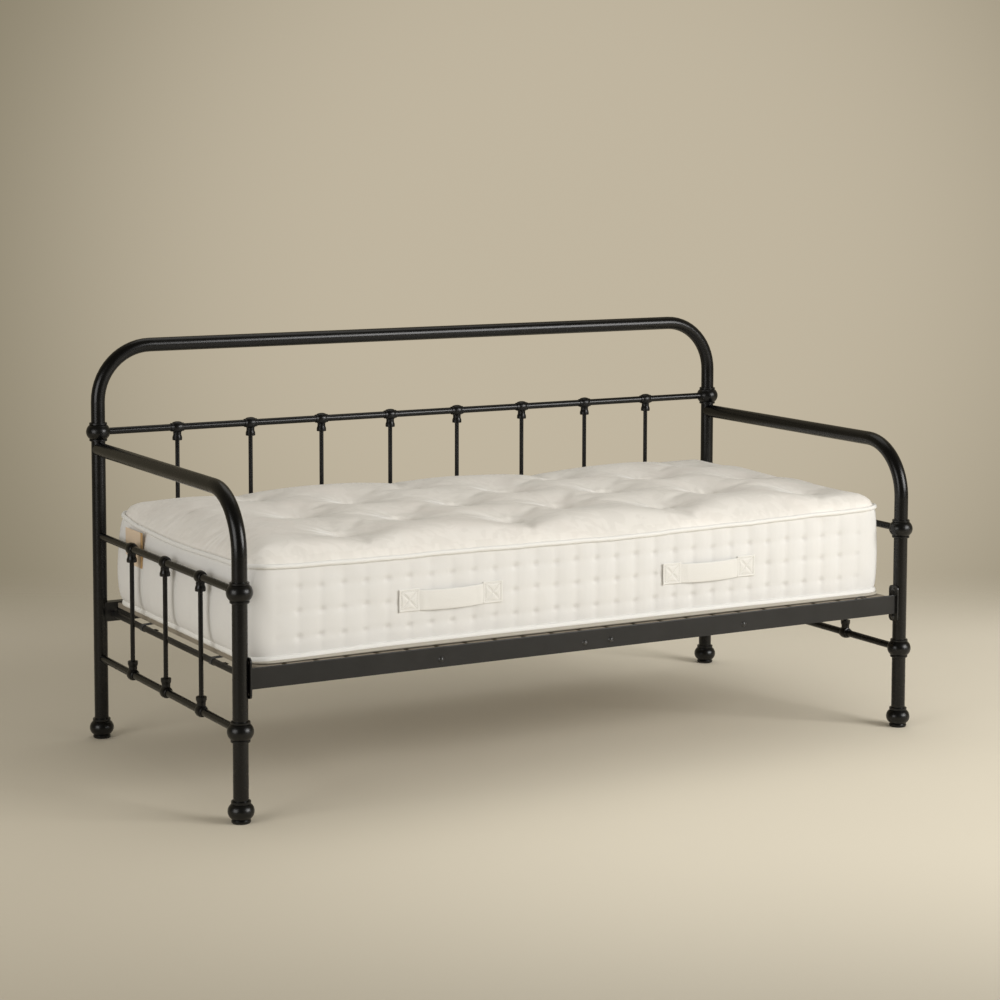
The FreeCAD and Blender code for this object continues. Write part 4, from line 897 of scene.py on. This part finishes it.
def stitch_patch(name, x0, z0):
    """The box and cross of stitches on one patch."""
    pattern = one_stitch()
    face = -HALF_Y - BORDER_PUFF - PATCH_PROUD + 0.0010
    inset = PATCH_INSET
    runs = [((-inset, -inset), (inset, -inset)), ((inset, -inset), (inset, inset)),
            ((inset, inset), (-inset, inset)), ((-inset, inset), (-inset, -inset)),
            ((-inset, -inset), (inset, inset)), ((-inset, inset), (inset, -inset))]
    parts = []
    for (ax, az), (bx, bz) in runs:
        length = math.hypot(bx - ax, bz - az)
        count = int(length / STITCH_PITCH)
        turn = math.atan2(bz - az, bx - ax)
        for i in range(count):
            f = (i + 0.5) / count
            one = pattern.copy()
            one.data = pattern.data.copy()
            bpy.context.scene.collection.objects.link(one)
            place = Matrix.Translation((x0 + ax + (bx - ax) * f, face, z0 + az + (bz - az) * f))
            one.data.transform(place @ Matrix.Rotation(-turn, 4, "Y"))
            parts.append(one)
    deselect()
    for p in parts:
        p.select_set(True)
    bpy.context.view_layer.objects.active = parts[0]
    bpy.ops.object.join()
    obj = bpy.context.object
    obj.name = name
    bpy.data.objects.remove(pattern)
    pick(obj)
    bpy.ops.object.shade_smooth_by_angle(angle=math.radians(60))
    unwrap_box(obj)
    obj.data.materials.clear()
    obj.data.materials.append(THREAD)
    return obj


def make_handle(side):
    """A strap with a stitched patch over each end."""
    low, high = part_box(side + "_handle")
    x0, z0 = (low.x + high.x) / 2, (low.z + high.z) / 2
    wide = high.x - low.x
    strap = handle_strap(side, x0, z0, wide)
    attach(strap, "mattress")
    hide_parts(side + "_handle")
    for end, s in (("left", -1), ("right", 1)):
        px = x0 + s * (wide - PATCH) / 2
        patch = handle_patch(f"{side}_strap_{end}_patch", px, z0)
        stitches = stitch_patch(f"{side}_strap_{end}_stitches", px, z0)
        for piece in (patch, stitches):
            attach(piece, "mattress")


def make_tag():
    """The label sewn into the left end's top seam, with a darker strip along its front edge."""
    low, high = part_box("mattress_tag")
    wide, tall = high.y - low.y + TAG_EXTRA_WIDE, high.z - low.z
    first = low.y - TAG_FORWARD
    face = -HALF_X - BORDER_PUFF - 1.5 * END_PUFF - 0.0060
    centre = Vector((face, first + wide / 2, (low.z + high.z) / 2))
    deselect()
    bpy.ops.mesh.primitive_grid_add(x_subdivisions=26, y_subdivisions=22, size=1,
                                    location=centre, rotation=(math.pi / 2, 0, -math.pi / 2))
    tag = bpy.context.object
    tag.name = "sewn_tag"
    tag.scale = (wide, tall, 1)
    settle(tag)
    co = coords(tag)
    v = (co[:, 2] - low.z) / tall
    u = (co[:, 1] - first) / wide
    wave = 0.0012 * (0.5 + 0.5 * np.sin(u * 5.0)) + 0.0005 * np.sin(u * 11 + v * 2)
    co[:, 0] -= wave * (1 - v)
    set_coords(tag, co)
    thicken(tag, 0.0009, 0.0003)
    unwrap_box(tag)
    tag.data.materials.append(TAG_CLOTH)
    tag.data.materials.append(TAG_EDGE)
    for f in tag.data.polygons:
        f.material_index = 1 if f.center.y < first + TAG_EDGE_WIDE else 0
    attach(tag, "mattress")
    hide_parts("mattress_tag")


# ---------------------------------------------------------------- build
dress_frame()
mattress = make_mattress()
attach(mattress, "mattress")
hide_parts("mattress")
for tape_name, height, half_tall in (("top_seam_tape", seam_height, TAPE_TALL),
                                     ("bottom_seam_tape", low_seam_height, TAPE_TALL + 0.0018)):
    seam_tape = make_seam_tape(tape_name, height, half_tall)
    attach(seam_tape, "mattress")
for side in ("left", "right"):
    make_handle(side)
make_tag()


# ---------------------------------------------------------------- stage, light and camera
YAW, PITCH, ROLL = math.radians(-29.449), math.radians(4.9216), math.radians(0.1107)
CAMERA_AT = (-3.2538, -5.7358, 1.6278)


def make_floor():
    """A pale floor that fades into the backdrop behind the bed and far off all round."""
    deselect()
    bpy.ops.mesh.primitive_grid_add(x_subdivisions=8, y_subdivisions=8, size=30, location=(0, 0, 0))
    floor = bpy.context.object
    floor.name = "studio_floor"
    r = Recipe("floor_paper")
    far = r.add("ShaderNodeMapping")
    r.link(r.where, far.inputs["Vector"])
    far.inputs["Rotation"].default_value = (0, 0, -YAW)
    split = r.add("ShaderNodeSeparateXYZ")
    r.link(far.outputs["Vector"], split.inputs[0])
    behind = r.ease(split.outputs["Y"], 1.2, 2.6)
    length = r.add("ShaderNodeVectorMath", operation="LENGTH")
    r.link(r.where, length.inputs[0])
    away = r.ease(length.outputs["Value"], 3.2, 7.0)
    fade = r.math("MAXIMUM", behind, away)
    colour = r.tint(r.noise(0.8, 2), (0.825, 0.760, 0.628), (0.845, 0.780, 0.646))
    # Painted shade: darker towards the camera, and towards the left, where the lamps' light falls
    # off
    near = r.ease(r.along(-0.50, -0.87), 1.0, 3.4)
    colour = r.tint(near, colour, (0.275, 0.250, 0.200))
    side = r.ease(r.along(-0.87, 0.49), -0.5, 1.3, 0.42)
    colour = r.tint(side, colour, (0.340, 0.295, 0.215))
    rough = r.fit(r.noise(60, 2), 0.3, 0.7, 0.80, 0.88)
    r.finish(colour, rough, r.bump(r.noise(420, 2), 0.0002, 0.2), Specular_IOR_Level=0.05)
    clear = r.add("ShaderNodeBsdfTransparent")
    mix = r.add("ShaderNodeMixShader")
    r.link(fade, mix.inputs[0])
    r.link(r.shader.outputs[0], mix.inputs[1])
    r.link(clear.outputs[0], mix.inputs[2])
    r.link(mix.outputs[0], r.tree.nodes["Material Output"].inputs["Surface"])
    floor.data.materials.append(r.mat)


def make_world():
    """Warm backdrop with a painted pool of light in its middle for what looks at it, soft even
    light for everything else.

    Camera, transmission and glossy rays see the backdrop. For glossy rays it is dimmer on the
    side that faces away from the backdrop's bright middle.
    """
    world = bpy.data.worlds.new("studio")
    bpy.context.scene.world = world
    world.use_nodes = True
    tree = world.node_tree
    tree.nodes.clear()

    def add(kind, **values):
        node = tree.nodes.new(kind)
        for k, v in values.items():
            setattr(node, k, v)
        return node

    way = add("ShaderNodeTexCoord")
    aim = add("ShaderNodeVectorMath", operation="DOT_PRODUCT")
    tree.links.new(way.outputs["Generated"], aim.inputs[0])
    turn, rise = YAW - math.radians(1.9), math.radians(-3.0)
    aim.inputs[1].default_value = (-math.sin(turn) * math.cos(rise),
                                   math.cos(turn) * math.cos(rise), math.sin(rise))
    # Painted pool of light: the backdrop is lighter about the middle of the view and darker towards
    # its edges.
    painted_light_pool = add("ShaderNodeMapRange", interpolation_type="SMOOTHSTEP")
    tree.links.new(aim.outputs["Value"], painted_light_pool.inputs["Value"])
    painted_light_pool.inputs["From Min"].default_value = 0.960
    painted_light_pool.inputs["From Max"].default_value = 0.999
    shade = add("ShaderNodeMix", data_type="RGBA")
    tree.links.new(painted_light_pool.outputs["Result"], shade.inputs[0])
    shade.inputs[6].default_value = (0.255, 0.222, 0.155, 1)
    shade.inputs[7].default_value = (0.530, 0.465, 0.350, 1)
    seen = add("ShaderNodeBackground")
    tree.links.new(shade.outputs[2], seen.inputs["Color"])
    front = add("ShaderNodeMapRange", interpolation_type="SMOOTHSTEP")
    tree.links.new(aim.outputs["Value"], front.inputs["Value"])
    front.inputs["From Min"].default_value = -0.6
    front.inputs["From Max"].default_value = 0.6
    front.inputs["To Min"].default_value = 0.25
    mirror = add("ShaderNodeMix", data_type="FLOAT")
    mirror.inputs[2].default_value = 1.0
    tree.links.new(front.outputs["Result"], mirror.inputs[3])
    tree.links.new(mirror.outputs[0], seen.inputs["Strength"])
    light = add("ShaderNodeBackground")
    light.inputs["Color"].default_value = (1.0, 0.955, 0.86, 1)
    light.inputs["Strength"].default_value = 0.385
    path = add("ShaderNodeLightPath")
    both = add("ShaderNodeMath", operation="MAXIMUM")
    tree.links.new(path.outputs["Is Camera Ray"], both.inputs[0])
    tree.links.new(path.outputs["Is Transmission Ray"], both.inputs[1])
    third = add("ShaderNodeMath", operation="MAXIMUM")
    tree.links.new(both.outputs[0], third.inputs[0])
    tree.links.new(path.outputs["Is Glossy Ray"], third.inputs[1])
    tree.links.new(path.outputs["Is Glossy Ray"], mirror.inputs[0])
    mix = add("ShaderNodeMixShader")
    tree.links.new(third.outputs[0], mix.inputs[0])
    tree.links.new(light.outputs[0], mix.inputs[1])
    tree.links.new(seen.outputs[0], mix.inputs[2])
    out = add("ShaderNodeOutputWorld")
    tree.links.new(mix.outputs[0], out.inputs["Surface"])


def soft_lamp(name, place, aim, wide, tall, power, colour):
    deselect()
    bpy.ops.object.light_add(type="AREA", location=place)
    lamp = bpy.context.object
    lamp.name = name
    lamp.data.shape = "RECTANGLE"
    lamp.data.size, lamp.data.size_y = wide, tall
    lamp.data.energy = power
    lamp.data.color = colour
    lamp.rotation_euler = (Vector(aim) - Vector(place)).to_track_quat("-Z", "Y").to_euler()


def make_camera():
    deselect()
    bpy.ops.object.camera_add(location=CAMERA_AT)
    cam = bpy.context.object
    cam.matrix_world = (Matrix.Translation(CAMERA_AT) @ Matrix.Rotation(YAW, 4, "Z")
                        @ Matrix.Rotation(math.pi / 2 - PITCH, 4, "X")
                        @ Matrix.Rotation(ROLL, 4, "Z"))
    cam.data.sensor_width = 36.0
    cam.data.lens = 87.237
    cam.data.shift_y = -0.15
    cam.data.clip_end = 100
    bpy.context.scene.camera = cam


make_floor()
make_world()
soft_lamp("key", (3.5, -5.1, 2.65), (0, 0, 0.5), 3.3, 2.8, 291, (1.0, 0.99, 0.975))
soft_lamp("fill", (-4.5, -1.4, 1.5), (0, 0, 0.5), 2.4, 2.2, 60, (1.0, 0.985, 0.965))
soft_lamp("overhead", (0.6, 0.9, 3.9), (0, 0, 0.4), 3.0, 2.0, 16, (1.0, 0.985, 0.965))
make_camera()
bpy.context.scene.view_settings.view_transform = "Standard"
